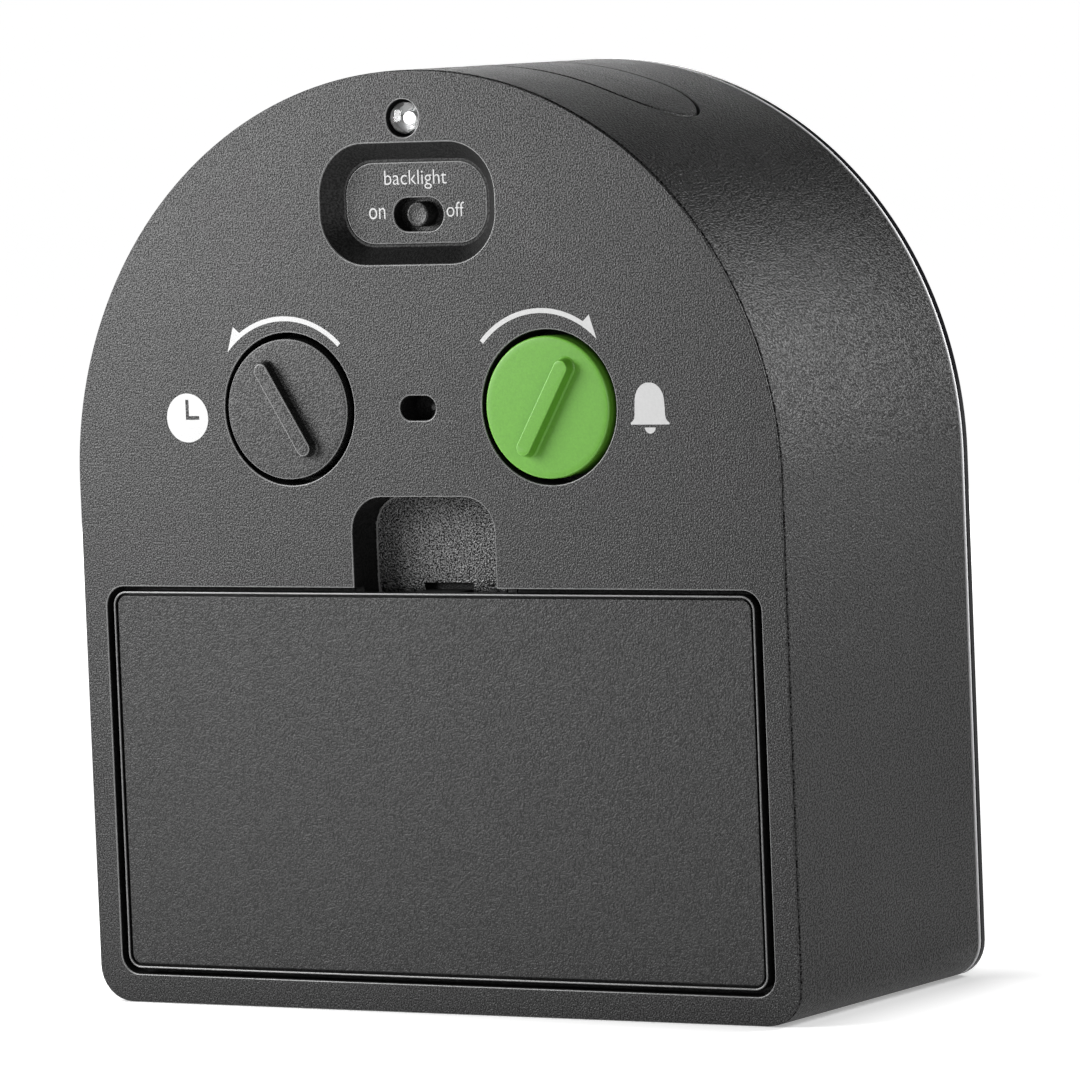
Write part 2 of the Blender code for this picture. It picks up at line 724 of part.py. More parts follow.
def cover_frame():
    """The thick frame round the door and the box of the battery bay, as helpers."""
    inset = WALL + 2 * SEAT
    frame_top = DOOR_TOP + POCKET_WALL
    frame = plate(
        "door_frame",
        [rounded((0, (inset + frame_top) / 2), WIDTH - 2 * inset, frame_top - inset, CORNER_RADIUS - WALL)],
        Y_BACK - FRAME_DEPTH,
        COVER_INSIDE + OVERLAP,
    )
    bay = plate(
        "bay_box",
        [block((0, DOOR_MIDDLE), bay_length() + 2 * POCKET_WALL, bay_height() + 2 * POCKET_WALL)],
        bay_floor() - POCKET_WALL,
        LEDGE - OVERLAP,
    )
    return [frame, bay]


def bay_length():
    ends = 2 * (SEAT + CONTACT_THICKNESS + SEAT)
    return CELL_LENGTH + SPRING_LENGTH + ends


def bay_height():
    return 2 * CELL_DIAMETER + 3 * CELL_PLAY


def bay_floor():
    return cell_y() - CELL_DIAMETER / 2 - SEAT


def cell_y():
    return DOOR_INSIDE - SEAT - CELL_DIAMETER / 2


def recess_outline(inset):
    return rounded(RECESS, RECESS_WIDTH - 2 * inset, RECESS_HEIGHT - 2 * inset, RECESS_CORNER - inset)


def notch_outline(grow):
    """The thumb notch above the door, with its lower end inside the door's recess."""
    bottom = DOOR_TOP - NOTCH_CORNER - grow
    top = DOOR_TOP + NOTCH_HEIGHT + grow
    return rounded((0, (bottom + top) / 2), NOTCH_WIDTH + 2 * grow, top - bottom, NOTCH_CORNER + grow)


def board_rear():
    return Y_BACK - BOARD_SETBACK


def rear_cover():
    """The moulded back: plate and spigot, pockets for the controls, door frame and battery bay."""
    spigot = WALL + SEAT
    inner = spigot + SPIGOT_WALL
    lip = Y_BACK - COVER_LIP
    cover = loft(
        "rear_cover",
        arch_sections(
            [
                (inner, COVER_INSIDE),
                (inner, COVER_INSIDE - SPIGOT_DEPTH),
                (spigot, COVER_INSIDE - SPIGOT_DEPTH),
                (spigot, lip),
                (BROKEN_EDGE, lip),
                (BROKEN_EDGE, Y_BACK - BROKEN_EDGE),
                (2 * BROKEN_EDGE, Y_BACK),
            ]
        ),
        CHARCOAL,
    )
    into = COVER_INSIDE + OVERLAP
    out = Y_BACK + OVERLAP
    slot_centre = (0, KNOB_Z)
    slot_floor = Y_BACK - SLOT_DEPTH
    notch_floor = Y_BACK - NOTCH_DEPTH
    well = KNOB_RADIUS + KNOB_GAP
    well_floor = Y_BACK - WELL_DEPTH
    recess_floor = Y_BACK - RECESS_DEPTH
    joins = cover_frame()
    cuts = []
    joins.append(plate("recess_cup", [recess_outline(-POCKET_WALL)], recess_floor - POCKET_WALL, into))
    past = OVERLAP * RECESS_SLOPE / RECESS_DEPTH
    slope = [(recess_outline(RECESS_SLOPE), recess_floor), (recess_outline(-past), out)]
    cuts.append(loft("recess_cut", slope))
    switch_slot = stadium((0, SWITCH_Z), SWITCH_SLOT, SWITCH_SLOT_HEIGHT)
    cuts.append(plate("switch_slot", [switch_slot], recess_floor - 2 * POCKET_WALL, recess_floor + OVERLAP))
    for name, axis in (("time", TIME_AXIS), ("alarm", ALARM_AXIS)):
        cup = well + POCKET_WALL
        joins.append(rod(f"{name}_well", cup, well_floor - POCKET_WALL, into, axis, steps=HIDDEN_STEPS))
        bore = SHAFT_RADIUS + SEAT
        end = well_floor - 2 * POCKET_WALL
        stepped = [(0, out), (well, out), (well, well_floor), (bore, well_floor), (bore, end), (0, end)]
        cuts.append(turned(f"{name}_hole", stepped, axis))
    joins.append(plate("notch_cup", [notch_outline(POCKET_WALL)], notch_floor - POCKET_WALL, into))
    cuts.append(plate("notch_cut", [notch_outline(0)], notch_floor, out))
    around = 2 * POCKET_WALL
    slot_wall = stadium(slot_centre, SLOT_LENGTH + around, SLOT_HEIGHT + around, CORNER_STEPS)
    joins.append(plate("slot_cup", [slot_wall], slot_floor - POCKET_WALL, into))
    cuts.append(plate("slot_cut", [stadium(slot_centre, SLOT_LENGTH, SLOT_HEIGHT)], slot_floor, out))
    sensor_hole = LAMP_FLANGE + RUNNING / 2
    joins.append(rod("sensor_tube", sensor_hole + SENSOR_WALL, sensor_seat() - SEAT, into, SENSOR))
    cuts.append(rod("sensor_hole", sensor_hole, sensor_seat() - 2 * SEAT, out, SENSOR, steps=HIDDEN_STEPS))
    for index, centre in enumerate(board_bosses()):
        joins.append(rod(f"board_boss_{index}", BOSS_RADIUS, board_rear() + SEAT, into, centre))
        pilot = SMALL_SCREW_SHANK + SEAT
        cuts.append(rod(f"board_pilot_{index}", pilot, board_rear(), COVER_INSIDE, centre, steps=TINY_STEPS))
    cuts += door_cuts(out)
    post = (-SLOT_LENGTH / 4, slot_centre[1])
    post_end = COVER_INSIDE + OVERLAP
    late = rod("slot_post", SLOT_POST, slot_floor - OVERLAP, post_end, post, steps=TINY_STEPS)
    shape_with(cover, "UNION", joins)
    shape_with(cover, "DIFFERENCE", cuts)
    shape_with(cover, "UNION", [late])


def door_cuts(out):
    """What the door and the cells take out of the cover: recess, bay, screw seats, latch and hook slots."""
    opening = rounded((0, DOOR_MIDDLE), DOOR_WIDTH, DOOR_OPENING, DOOR_CORNER)
    cuts = [plate("door_recess", [opening], LEDGE, out)]
    bay = block((0, DOOR_MIDDLE), bay_length(), bay_height())
    cuts.append(plate("bay_inside", [bay], bay_floor(), LEDGE + OVERLAP))
    head = COVER_SCREW_HEAD + SEAT
    shank = COVER_SCREW_SHANK + SEAT
    seat = cover_screw_seat() - SEAT
    top = LEDGE + OVERLAP
    end = Y_BACK - FRAME_DEPTH - OVERLAP
    stepped = [(0, top), (head, top), (head, seat), (shank, seat), (shank, end), (0, end)]
    for index, centre in enumerate(cover_posts()):
        cuts.append(turned(f"screw_way_{index}", stepped, centre, steps=SMALL_STEPS))
    latch_bottom = DOOR_TOP - SEAT - LATCH_HEIGHT - SEAT
    latch_top = DOOR_TOP + LATCH_CLEAR
    latch = block((0, (latch_bottom + latch_top) / 2), LATCH_WIDTH + 2 * SEAT, latch_top - latch_bottom)
    latch_end = Y_BACK - NOTCH_DEPTH - POCKET_WALL - SEAT
    cuts.append(plate("latch_slot", [latch], latch_end, LEDGE + OVERLAP))
    bay_bottom = DOOR_MIDDLE - bay_height() / 2
    hook_bottom = WALL + SEAT / 2
    for side in (1, -1):
        height = bay_bottom + SEAT - hook_bottom
        way = block((side * HOOK_SPREAD, hook_bottom + height / 2), HOOK_WIDTH + 2 * SEAT, height)
        near = hook_front() - 2 * SEAT
        cuts.append(plate(f"hook_slot_{side}", [way], near, LEDGE + SEAT))
    return cuts


def cover_screw_seat():
    """The level where the cover screws' heads sit, under the battery door."""
    return DOOR_INSIDE - SEAT - HEAD_HEIGHT


def hook_front():
    return LEDGE - SEAT - HOOK_DEPTH


def battery_door():
    """The door with its raised rim, latch tongue and lower hooks; it tips out about its lower outer edge."""
    width = DOOR_WIDTH - 2 * SEAT
    height = DOOR_OPENING - 2 * SEAT
    centre = (0, DOOR_MIDDLE)

    def outline(inset):
        return rounded(centre, width - 2 * inset, height - 2 * inset, DOOR_CORNER - SEAT - inset)

    face = Y_BACK - DOOR_RIM_HEIGHT
    sections = [
        (outline(0), DOOR_INSIDE),
        (outline(0), Y_BACK - BROKEN_EDGE),
        (outline(BROKEN_EDGE), Y_BACK),
        (outline(DOOR_RIM), Y_BACK),
        (outline(DOOR_RIM + BROKEN_EDGE), face),
    ]
    door = loft("battery_door", sections, CHARCOAL)
    top = DOOR_TOP - SEAT
    tongue = block((0, top - LATCH_HEIGHT / 2), LATCH_WIDTH, LATCH_HEIGHT)
    joins = [plate("latch_tongue", [tongue], DOOR_INSIDE - LATCH_DEPTH, DOOR_INSIDE + OVERLAP)]
    bottom = DOOR_MARGIN + SEAT
    for side in (1, -1):
        root = block((side * HOOK_SPREAD, bottom + HOOK_ROOT / 2 + SEAT), HOOK_WIDTH, HOOK_ROOT)
        joins.append(plate(f"hook_root_{side}", [root], hook_front(), DOOR_INSIDE + OVERLAP))
        low = DOOR_MARGIN - HOOK_REACH
        high = bottom + SEAT + HOOK_ROOT / 2
        hook = block((side * HOOK_SPREAD, (low + high) / 2), HOOK_WIDTH, high - low)
        joins.append(plate(f"hook_{side}", [hook], hook_front() - BROKEN_EDGE, hook_front() + HOOK_DEPTH))
    shape_with(door, "UNION", joins)
    set_axis(door, 0, Y_BACK - BROKEN_EDGE, DOOR_MARGIN + SEAT)


def knob(name, axis, lean, finish):
    """A round setting knob with a raised grip bar and a hub that takes the set shaft."""
    face = Y_BACK + KNOB_PROUD
    rear = face - KNOB_THICKNESS
    hub_end = rear - HUB_LENGTH
    bore = SHAFT_RADIUS + RUNNING
    rounding = arc((KNOB_RADIUS - KNOB_EDGE, face - KNOB_EDGE), KNOB_EDGE, 90, 0, CORNER_STEPS)
    made = turned(name, [(0, face)] + rounding + [(KNOB_RADIUS, rear), (0, rear)], axis, finish)
    hub = rod(f"{name}_hub", HUB_RADIUS, hub_end, rear + OVERLAP, axis)
    hole = rod(f"{name}_socket", bore, hub_end - OVERLAP, shaft_end() + SEAT, axis)
    upright = turn_outline(stadium(axis, GRIP_LENGTH, GRIP_WIDTH, CORNER_STEPS), axis, 90)
    bar = turn_outline(upright, axis, -lean)
    grip = plate(f"{name}_grip", [bar], face - OVERLAP, face + GRIP_HEIGHT)
    shape_with(made, "UNION", [hub, grip])
    shape_with(made, "DIFFERENCE", [hole])
    set_axis(made, axis[0], face, axis[1])


def shaft_end():
    """Where a set shaft ends inside its knob's hub."""
    return Y_BACK + KNOB_PROUD - KNOB_THICKNESS + HUB_LENGTH / 2


def set_shaft(name, axis, outline, layer, finish):
    """A shaft from the front plate to its knob, with its pinion in one layer of the movement."""
    shoulder = layer + WHEEL
    profile = [
        (0, shaft_end()),
        (SHAFT_RADIUS, shaft_end()),
        (SHAFT_RADIUS, shoulder),
        (PIVOT_RADIUS, shoulder),
        (PIVOT_RADIUS, FRONT_PLATE),
        (0, FRONT_PLATE),
    ]
    shaft = turned(name, profile, axis, finish, SMALL_STEPS)
    shape_with(shaft, "UNION", [plate(f"{name}_pinion", [outline], layer, shoulder)])
    set_axis(shaft, axis[0], layer, axis[1])


def wheel_on_arbor(name, axis, gears, ends, radius, finish):
    """A solid arbor between two levels with one or more gears; each gear is (outline, layer)."""
    arbor = rod(name, radius, ends[0], ends[1], axis, finish, TINY_STEPS)
    tools = []
    for index, (outline, layer) in enumerate(gears):
        tools.append(plate(f"{name}_{index}", [outline], layer, layer + WHEEL))
    shape_with(arbor, "UNION", tools)
    set_axis(arbor, axis[0], gears[0][1], axis[1])


def tube_wheel(name, outline, layer, bore, tube, front, finish):
    """A wheel on a tube that carries a hand, turning on the arbor inside it."""
    profile = [(tube, layer + WHEEL), (tube, front), (bore, front), (bore, layer + WHEEL)]
    pipe = turned(name, profile, CENTRE, finish, SMALL_STEPS, hollow=True)
    hole = circle(CENTRE, (bore + tube) / 2, SMALL_STEPS)
    shape_with(pipe, "UNION", [plate(f"{name}_teeth", [outline, hole], layer, layer + WHEEL)])
    set_axis(pipe, CENTRE[0], layer, CENTRE[1])


def setting_trains():
    """Time setting: knob, motion wheel, minute and hour. Alarm setting: knob and alarm wheel."""
    set_phase = bearing(TIME_AXIS, MOTION_AXIS)
    motion_phase = meshed(SET_TEETH, set_phase, MOTION_TEETH, bearing(TIME_AXIS, MOTION_AXIS))
    inward = bearing(MOTION_AXIS, CENTRE)
    cannon_phase = meshed(MOTION_TEETH, motion_phase, CANNON_TEETH, inward)
    hour_phase = meshed(MOTION_PINION, motion_phase, HOUR_TEETH, inward)
    set_shaft("time_set_shaft", TIME_AXIS, gear(SET_TEETH, SET_MODULE, set_phase, TIME_AXIS), LAYER_C, STEEL)

    bore = circle(MOTION_AXIS, POST_RADIUS + RUNNING, TINY_STEPS)
    teeth = gear(MOTION_TEETH, SET_MODULE, motion_phase, MOTION_AXIS)
    motion = plate("motion_wheel", [teeth, bore], LAYER_C, LAYER_C + WHEEL, WHITE)
    wide = circle(MOTION_AXIS, POST_RADIUS + 2 * RUNNING, TINY_STEPS)
    pinion = gear(MOTION_PINION, SET_MODULE, motion_phase, MOTION_AXIS)
    shape_with(motion, "UNION", [plate("motion_pinion", [pinion, wide], LAYER_B, LAYER_C + WHEEL / 2)])
    set_axis(motion, MOTION_AXIS[0], LAYER_C, MOTION_AXIS[1])

    cannon = gear(CANNON_TEETH, SET_MODULE, cannon_phase, CENTRE)
    profile = [
        (MINUTE_TUBE, LAYER_D + WHEEL),
        (MINUTE_TUBE, MINUTE_LEVEL),
        (MINUTE_BORE, MINUTE_LEVEL),
        (MINUTE_BORE, LAYER_D + WHEEL),
    ]
    minute = turned("minute_arbor", profile, CENTRE, BRASS, SMALL_STEPS, hollow=True)
    hole = circle(CENTRE, (MINUTE_BORE + MINUTE_TUBE) / 2, SMALL_STEPS)
    shape_with(minute, "UNION", [plate("cannon_teeth", [cannon, hole], LAYER_C, LAYER_C + WHEEL)])
    set_axis(minute, CENTRE[0], LAYER_C, CENTRE[1])

    hour = gear(HOUR_TEETH, SET_MODULE, hour_phase, CENTRE)
    tube_wheel("hour_wheel", hour, LAYER_B, HOUR_BORE, HOUR_TUBE, HOUR_LEVEL, WHITE)

    out = bearing(ALARM_AXIS, CENTRE)
    alarm_pinion = gear(ALARM_SET_TEETH, ALARM_MODULE, out, ALARM_AXIS)
    set_shaft("alarm_set_shaft", ALARM_AXIS, alarm_pinion, LAYER_A, STEEL)
    alarm = gear(ALARM_TEETH, ALARM_MODULE, meshed(ALARM_SET_TEETH, out, ALARM_TEETH, out), CENTRE)
    tube_wheel("alarm_wheel", alarm, LAYER_A, ALARM_BORE, ALARM_TUBE, ALARM_LEVEL, WHITE)


def running_train():
    """Rotor, intermediate, second, third and centre wheels, between the middle and the rear plate."""
    ends = (MID_PLATE, BACK_PLATE_REAR)
    small = PINION_TEETH
    to_rotor = bearing(INTERMEDIATE_AXIS, ROTOR_AXIS)
    to_centre = bearing(INTERMEDIATE_AXIS, CENTRE)
    to_third = bearing(CENTRE, THIRD_AXIS)
    second_phase = meshed(small, to_centre, SECOND_TEETH, to_centre)
    rotor_phase = meshed(INTERMEDIATE_TEETH, to_rotor, small, to_rotor)
    third_phase = meshed(small, to_third, THIRD_TEETH, to_third)
    centre_phase = meshed(small, third_phase, CENTRE_TEETH, bearing(THIRD_AXIS, CENTRE))

    intermediate = [
        (gear(INTERMEDIATE_TEETH, ROTOR_MODULE, to_rotor, INTERMEDIATE_AXIS, True), LAYER_G),
        (gear(small, SECOND_MODULE, to_centre, INTERMEDIATE_AXIS, True), LAYER_F),
    ]
    wheel_on_arbor("intermediate_wheel", INTERMEDIATE_AXIS, intermediate, ends, THIN_ARBOR, WHITE)
    third = [
        (gear(THIRD_TEETH, THIRD_MODULE, third_phase, THIRD_AXIS, True), LAYER_E),
        (gear(small, CENTRE_MODULE, third_phase, THIRD_AXIS, True), LAYER_D),
    ]
    wheel_on_arbor("third_wheel", THIRD_AXIS, third, ends, THIN_ARBOR, WHITE)
    second = [
        (gear(SECOND_TEETH, SECOND_MODULE, second_phase, CENTRE, True), LAYER_F),
        (gear(small, THIRD_MODULE, to_third, CENTRE, True), LAYER_E),
    ]
    wheel_on_arbor("second_wheel", CENTRE, second, (SECOND_LEVEL, BACK_PLATE_REAR), SECOND_ARBOR, STEEL)
    pinion = [(gear(small, ROTOR_MODULE, rotor_phase, ROTOR_AXIS, True), LAYER_G)]
    wheel_on_arbor("rotor", ROTOR_AXIS, pinion, ends, THIN_ARBOR, STEEL)
    magnet = rod("magnet", MAGNET_RADIUS, LAYER_H, LAYER_H + MAGNET_LENGTH, ROTOR_AXIS)
    shape_with(bpy.data.objects["rotor"], "UNION", [magnet])
    teeth = gear(CENTRE_TEETH, CENTRE_MODULE, centre_phase, CENTRE, True)
    hole = circle(CENTRE, MINUTE_TUBE + RUNNING, SMALL_STEPS)
    wheel = plate("centre_wheel", [teeth, hole], LAYER_D, LAYER_D + WHEEL, BRASS)
    set_axis(wheel, CENTRE[0], LAYER_D, CENTRE[1])


def movement_plates():
    """Front plate with ears and pillars, middle plate with the motion post, and rear plate with pillars."""
    middle = (PLATE_TOP + PLATE_BOTTOM) / 2
    tall = PLATE_TOP - PLATE_BOTTOM
    body = rounded((0, middle), 2 * PLATE_HALF, tall, PLATE_BORDER)
    eared = rounded((0, middle - EAR / 4), 2 * (PLATE_HALF + EAR), tall + EAR / 2, PLATE_BORDER)
    screw_way = SMALL_SCREW_SHANK + SEAT
    screws = [circle(centre, screw_way, TINY_STEPS) for centre in SCREWED_PILLARS]
    pivots = [circle(axis, PIVOT_RADIUS + SEAT, TINY_STEPS) for axis in (TIME_AXIS, ALARM_AXIS)]
    shafts = [circle(axis, SHAFT_RADIUS + SEAT, SMALL_STEPS) for axis in (TIME_AXIS, ALARM_AXIS)]
    arbors = (THIRD_AXIS, INTERMEDIATE_AXIS, ROTOR_AXIS)
    thin = [circle(axis, THIN_ARBOR + RUNNING, TINY_STEPS) for axis in arbors]

    ears = [circle(centre, screw_way, TINY_STEPS) for centre in mount_places()]
    bush = [circle(CENTRE, ALARM_TUBE + RUNNING, SMALL_STEPS)]
    front_end = FRONT_PLATE + PLATE
    front = plate("movement_front_plate", [eared] + bush + pivots + ears, FRONT_PLATE, front_end, WHITE)
    shape_with(front, "UNION", pillars("front_pillar", front_end - OVERLAP, MID_PLATE - SEAT))

    minute_way = [circle(CENTRE, MINUTE_TUBE + RUNNING, SMALL_STEPS)]
    mid_end = MID_PLATE + MIDDLE_PLATE
    holes = minute_way + shafts + thin + screws
    mid = plate("movement_middle_plate", [body] + holes, MID_PLATE, mid_end, WHITE)
    post = rod("motion_post", POST_RADIUS, LAYER_B, MID_PLATE + OVERLAP, MOTION_AXIS, steps=TINY_STEPS)
    shape_with(mid, "UNION", [post])

    second_way = [circle(CENTRE, SECOND_ARBOR + RUNNING, TINY_STEPS)]
    holes = second_way + shafts + thin + screws
    rear = plate("movement_rear_plate", [body] + holes, BACK_PLATE, BACK_PLATE_REAR, WHITE)
    shape_with(rear, "UNION", pillars("rear_pillar", mid_end + SEAT, BACK_PLATE + OVERLAP))


def pillars(name, near, far):
    """Four spacers between two plates, two of them bored for the movement's screws."""
    tools = []
    for index, centre in enumerate(PILLARS):
        outlines = [circle(centre, PILLAR_RADIUS, SMALL_STEPS)]
        if centre in SCREWED_PILLARS:
            outlines.append(circle(centre, SMALL_SCREW_SHANK + SEAT, TINY_STEPS))
        tools.append(plate(f"{name}_{index}", outlines, near, far))
    return tools


def motor():
    """The stator frame round the rotor, with the coil on its lower bar."""
    x, z = ROTOR_AXIS
    bar_z = z - COIL_DROP
    left = x - STATOR_SPAN + STATOR_LEG / 2
    right = x + STATOR_SPAN + STATOR_LEG / 2
    bottom = bar_z - STATOR_LEG / 2
    top = z + STATOR_HEAD
    frame = block(((left + right) / 2, (bottom + top) / 2), right - left, top - bottom)
    window_top = z - STATOR_HEAD
    window_bottom = bar_z + STATOR_LEG / 2
    inner_left = left + STATOR_LEG
    inner_right = right - STATOR_LEG
    window = block(
        ((inner_left + inner_right) / 2, (window_bottom + window_top) / 2),
        inner_right - inner_left,
        window_top - window_bottom,
    )
    bore = circle(ROTOR_AXIS, STATOR_BORE, SMALL_STEPS)
    plate("stator", [frame, window, bore], LAYER_H, LAYER_H + MAGNET_LENGTH, STEEL)
    half = (inner_right - inner_left) / 2 - SEAT
    level = LAYER_H + MAGNET_LENGTH / 2
    profile = [(COIL_RADIUS, half), (COIL_RADIUS, -half), (COIL_BORE, -half), (COIL_BORE, half)]
    coil = turned("coil", profile, (0, 0), COPPER, SMALL_STEPS, hollow=True)
    lie = Matrix.Rotation(math.pi / 2, 4, "Z")
    coil.data.transform(Matrix.Translation(((inner_left + inner_right) / 2, level, bar_z)) @ lie)


def hand(name, size, level, bore, degrees, finish):
    """A flat tapered hand with a round hub, turned clockwise from twelve; size is length, tail and width."""
    length, tail, width = size
    hub = bore + HAND_HUB
    half = width / 2
    lift = math.degrees(math.asin(min(half / hub, 1)))
    tip = CENTRE[1] + length
    outline = [(CENTRE[0] + half / 2, tip), (CENTRE[0] - half / 2, tip)]
    if tail:
        outline += arc(CENTRE, hub, 90 + lift, 270 - lift, CORNER_STEPS)
        outline += [(CENTRE[0] - half, CENTRE[1] - tail), (CENTRE[0] + half, CENTRE[1] - tail)]
        outline += arc(CENTRE, hub, 270 + lift, 450 - lift, CORNER_STEPS)
    else:
        outline += arc(CENTRE, hub, 90 + lift, 450 - lift, SMALL_STEPS)
    outlines = [turn_outline(outline, CENTRE, -degrees)]
    if bore:
        outlines.append(circle(CENTRE, bore, SMALL_STEPS))
    made = plate(name, outlines, level - HAND_THICKNESS, level, finish)
    return set_axis(made, CENTRE[0], level, CENTRE[1])


def hands():
    """Four hands at a true time of day, each just in front of the end of its own arbor."""
    minutes = REST_MINUTES + REST_SECONDS / 60
    hour_angle = HOUR_DEGREES * (REST_HOURS + minutes / 60)
    fit = RUNNING / 2
    level = SECOND_LEVEL - fit
    size = (ARCH_RADIUS - SECOND_HAND_INSET, SECOND_TAIL, SECOND_HAND_WIDTH)
    hand("second_hand", size, level, 0, MINUTE_DEGREES * REST_SECONDS, GREEN)
    level = MINUTE_LEVEL - fit
    size = (ARCH_RADIUS - MINUTE_HAND_INSET, 0, MINUTE_HAND_WIDTH)
    hand("minute_hand", size, level, MINUTE_BORE + fit, MINUTE_DEGREES * minutes, WHITE)
    level = HOUR_LEVEL - fit
    size = (ARCH_RADIUS - HOUR_HAND_INSET, 0, HOUR_HAND_WIDTH)
    hand("hour_hand", size, level, HOUR_BORE, hour_angle, WHITE)
    level = ALARM_LEVEL - fit
    size = (ARCH_RADIUS - ALARM_HAND_INSET, 0, ALARM_HAND_WIDTH)
    hand("alarm_hand", size, level, ALARM_BORE, HOUR_DEGREES * ALARM_HOURS, GREEN)


def lamp(name, centre, tip, facing, lead, finish):
    """A 3 mm dome lamp or sensor with its flange and two leads; facing is 1 to the back, -1 to the front."""
    dome = arc((0, -LAMP_RADIUS), LAMP_RADIUS, 90, 0, CORNER_STEPS)
    body = LAMP_LENGTH - LAMP_FLANGE_LENGTH
    profile = dome + [(LAMP_RADIUS, -body), (LAMP_FLANGE, -body)]
    profile += [(LAMP_FLANGE, -LAMP_LENGTH), (0, -LAMP_LENGTH)]
    placed = [(radius, tip + facing * along) for radius, along in profile]
    made = turned(name, placed, centre, finish, SMALL_STEPS)
    seat = tip - facing * LAMP_LENGTH
    ends = sorted((seat + facing * OVERLAP, seat - facing * lead))
    tools = []
    for side in (1, -1):
        place_ = (centre[0] + side * LEAD_SPREAD, centre[1])
        tools.append(rod(f"{name}_lead_{side}", LEAD_RADIUS, ends[0], ends[1], place_, steps=TINY_STEPS // 2))
    shape_with(made, "UNION", tools)


def sensor_seat():
    return Y_BACK - SENSOR_SUNK - LAMP_LENGTH


def lamps():
    """The light sensor in the back and the two lamps behind the dial."""
    lead = sensor_seat() - board_rear() - SEAT
    lamp("light_sensor", SENSOR, Y_BACK - SENSOR_SUNK, 1, lead, CLEAR)
    for name, centre in zip(("left", "right"), lamp_places()):
        tip = BULKHEAD_REAR + SEAT - LAMP_LENGTH + LAMP_FLANGE_LENGTH
        lamp(f"backlight_lamp_{name}", centre, max(tip, BULKHEAD_FRONT), -1, LAMP_LEAD, CLEAR)


def board_bosses():
    return [(side * BOSS_SPREAD, BOARD_BOTTOM + BOSS_RISE) for side in (1, -1)]


def circuit_board():
    """The board behind the switch recess, with its slide switch and the switch under the top button."""
    rear = board_rear()
    front = rear - BOARD_THICKNESS
    reach = math.degrees(math.acos(BOARD_HALF_WIDTH / BOARD_ARC))
    outline = [(-BOARD_HALF_WIDTH, BOARD_BOTTOM), (BOARD_HALF_WIDTH, BOARD_BOTTOM)]
    outline += arc(CENTRE, BOARD_ARC, reach, 180 - reach, 2 * CORNER_STEPS)
    holes = [circle(centre, SMALL_SCREW_SHANK + SEAT, TINY_STEPS) for centre in board_bosses()]
    plate("circuit_board", [outline] + holes, front, rear, BOARD_GREEN)

    body_rear = slider_flange_front() - SEAT
    body = plate(
        "slide_switch_body",
        [block((0, SWITCH_Z), SLIDE_BODY_WIDTH, SLIDE_BODY_HEIGHT)],
        rear + SEAT,
        body_rear,
        STEEL,
    )
    way = 2 * (SLIDER_RADIUS + SLIDER_TRAVEL + SEAT)
    tail_way = plate(
        "slider_way",
        [block((0, SWITCH_Z), way, SLIDER_RADIUS + 2 * SEAT)],
        slider_flange_front() - SLIDER_TAIL - SEAT,
        body_rear + OVERLAP,
    )
    shape_with(body, "DIFFERENCE", [tail_way])

    low = stem_y() - SNOOZE_HALF
    high = front - SEAT
    foot = block((0, (low + high) / 2), 2 * SNOOZE_HALF, high - low)
    body = plate("snooze_switch", [foot], SNOOZE_TOP - SNOOZE_HEIGHT, SNOOZE_TOP, BLACK, upright=True)
    way = circle((0, stem_y()), PLUNGER_RADIUS + SEAT, SMALL_STEPS)
    depth = PLUNGER_DEPTH + BUTTON_TRAVEL + SEAT
    plunger_way = plate("plunger_way", [way], SNOOZE_TOP - depth, SNOOZE_TOP + OVERLAP, upright=True)
    shape_with(body, "DIFFERENCE", [plunger_way])


def slider_flange_front():
    return Y_BACK - RECESS_DEPTH - POCKET_WALL - SEAT - SLIDER_FLANGE


def switch_slider():
    """The round slider with the flange that closes its slot from inside and a tail into the switch."""
    front = slider_flange_front()
    centre = (0, SWITCH_Z)
    cover = SWITCH_SLOT + 2 * SLIDER_TRAVEL + 2 * SEAT
    slider = plate(
        "switch_slider",
        [block(centre, cover, SWITCH_SLOT_HEIGHT + POCKET_WALL)],
        front,
        front + SLIDER_FLANGE,
        BLACK,
    )
    top = Y_BACK - RECESS_DEPTH + SLIDER_PROUD
    cap = rod("slider_cap", SLIDER_RADIUS, front + SLIDER_FLANGE - OVERLAP, top, centre, steps=HIDDEN_STEPS)
    tongue = block(centre, 2 * SLIDER_RADIUS, SLIDER_RADIUS)
    tail = plate("slider_tail", [tongue], front - SLIDER_TAIL, front + SLIDER_FLANGE / 2)
    shape_with(slider, "UNION", [cap, tail])
    set_axis(slider, 0, front, SWITCH_Z)


def stem_y():
    return button_y() + STEM_OFFSET


def arch_slice(name, outer, inner, finish=None):
    """A slice of the arch's top between two radii, wider than the button."""
    start = 90 - BUTTON_SPAN / 2
    steps = round(ARCH_STEPS * BUTTON_SPAN / 180)
    outline = arc(CENTRE, outer, start, start + BUTTON_SPAN, steps)
    outline += arc(CENTRE, inner, start + BUTTON_SPAN, start, steps)
    return plate(name, [outline], button_y() - BUTTON_WIDTH, button_y() + BUTTON_WIDTH, finish)


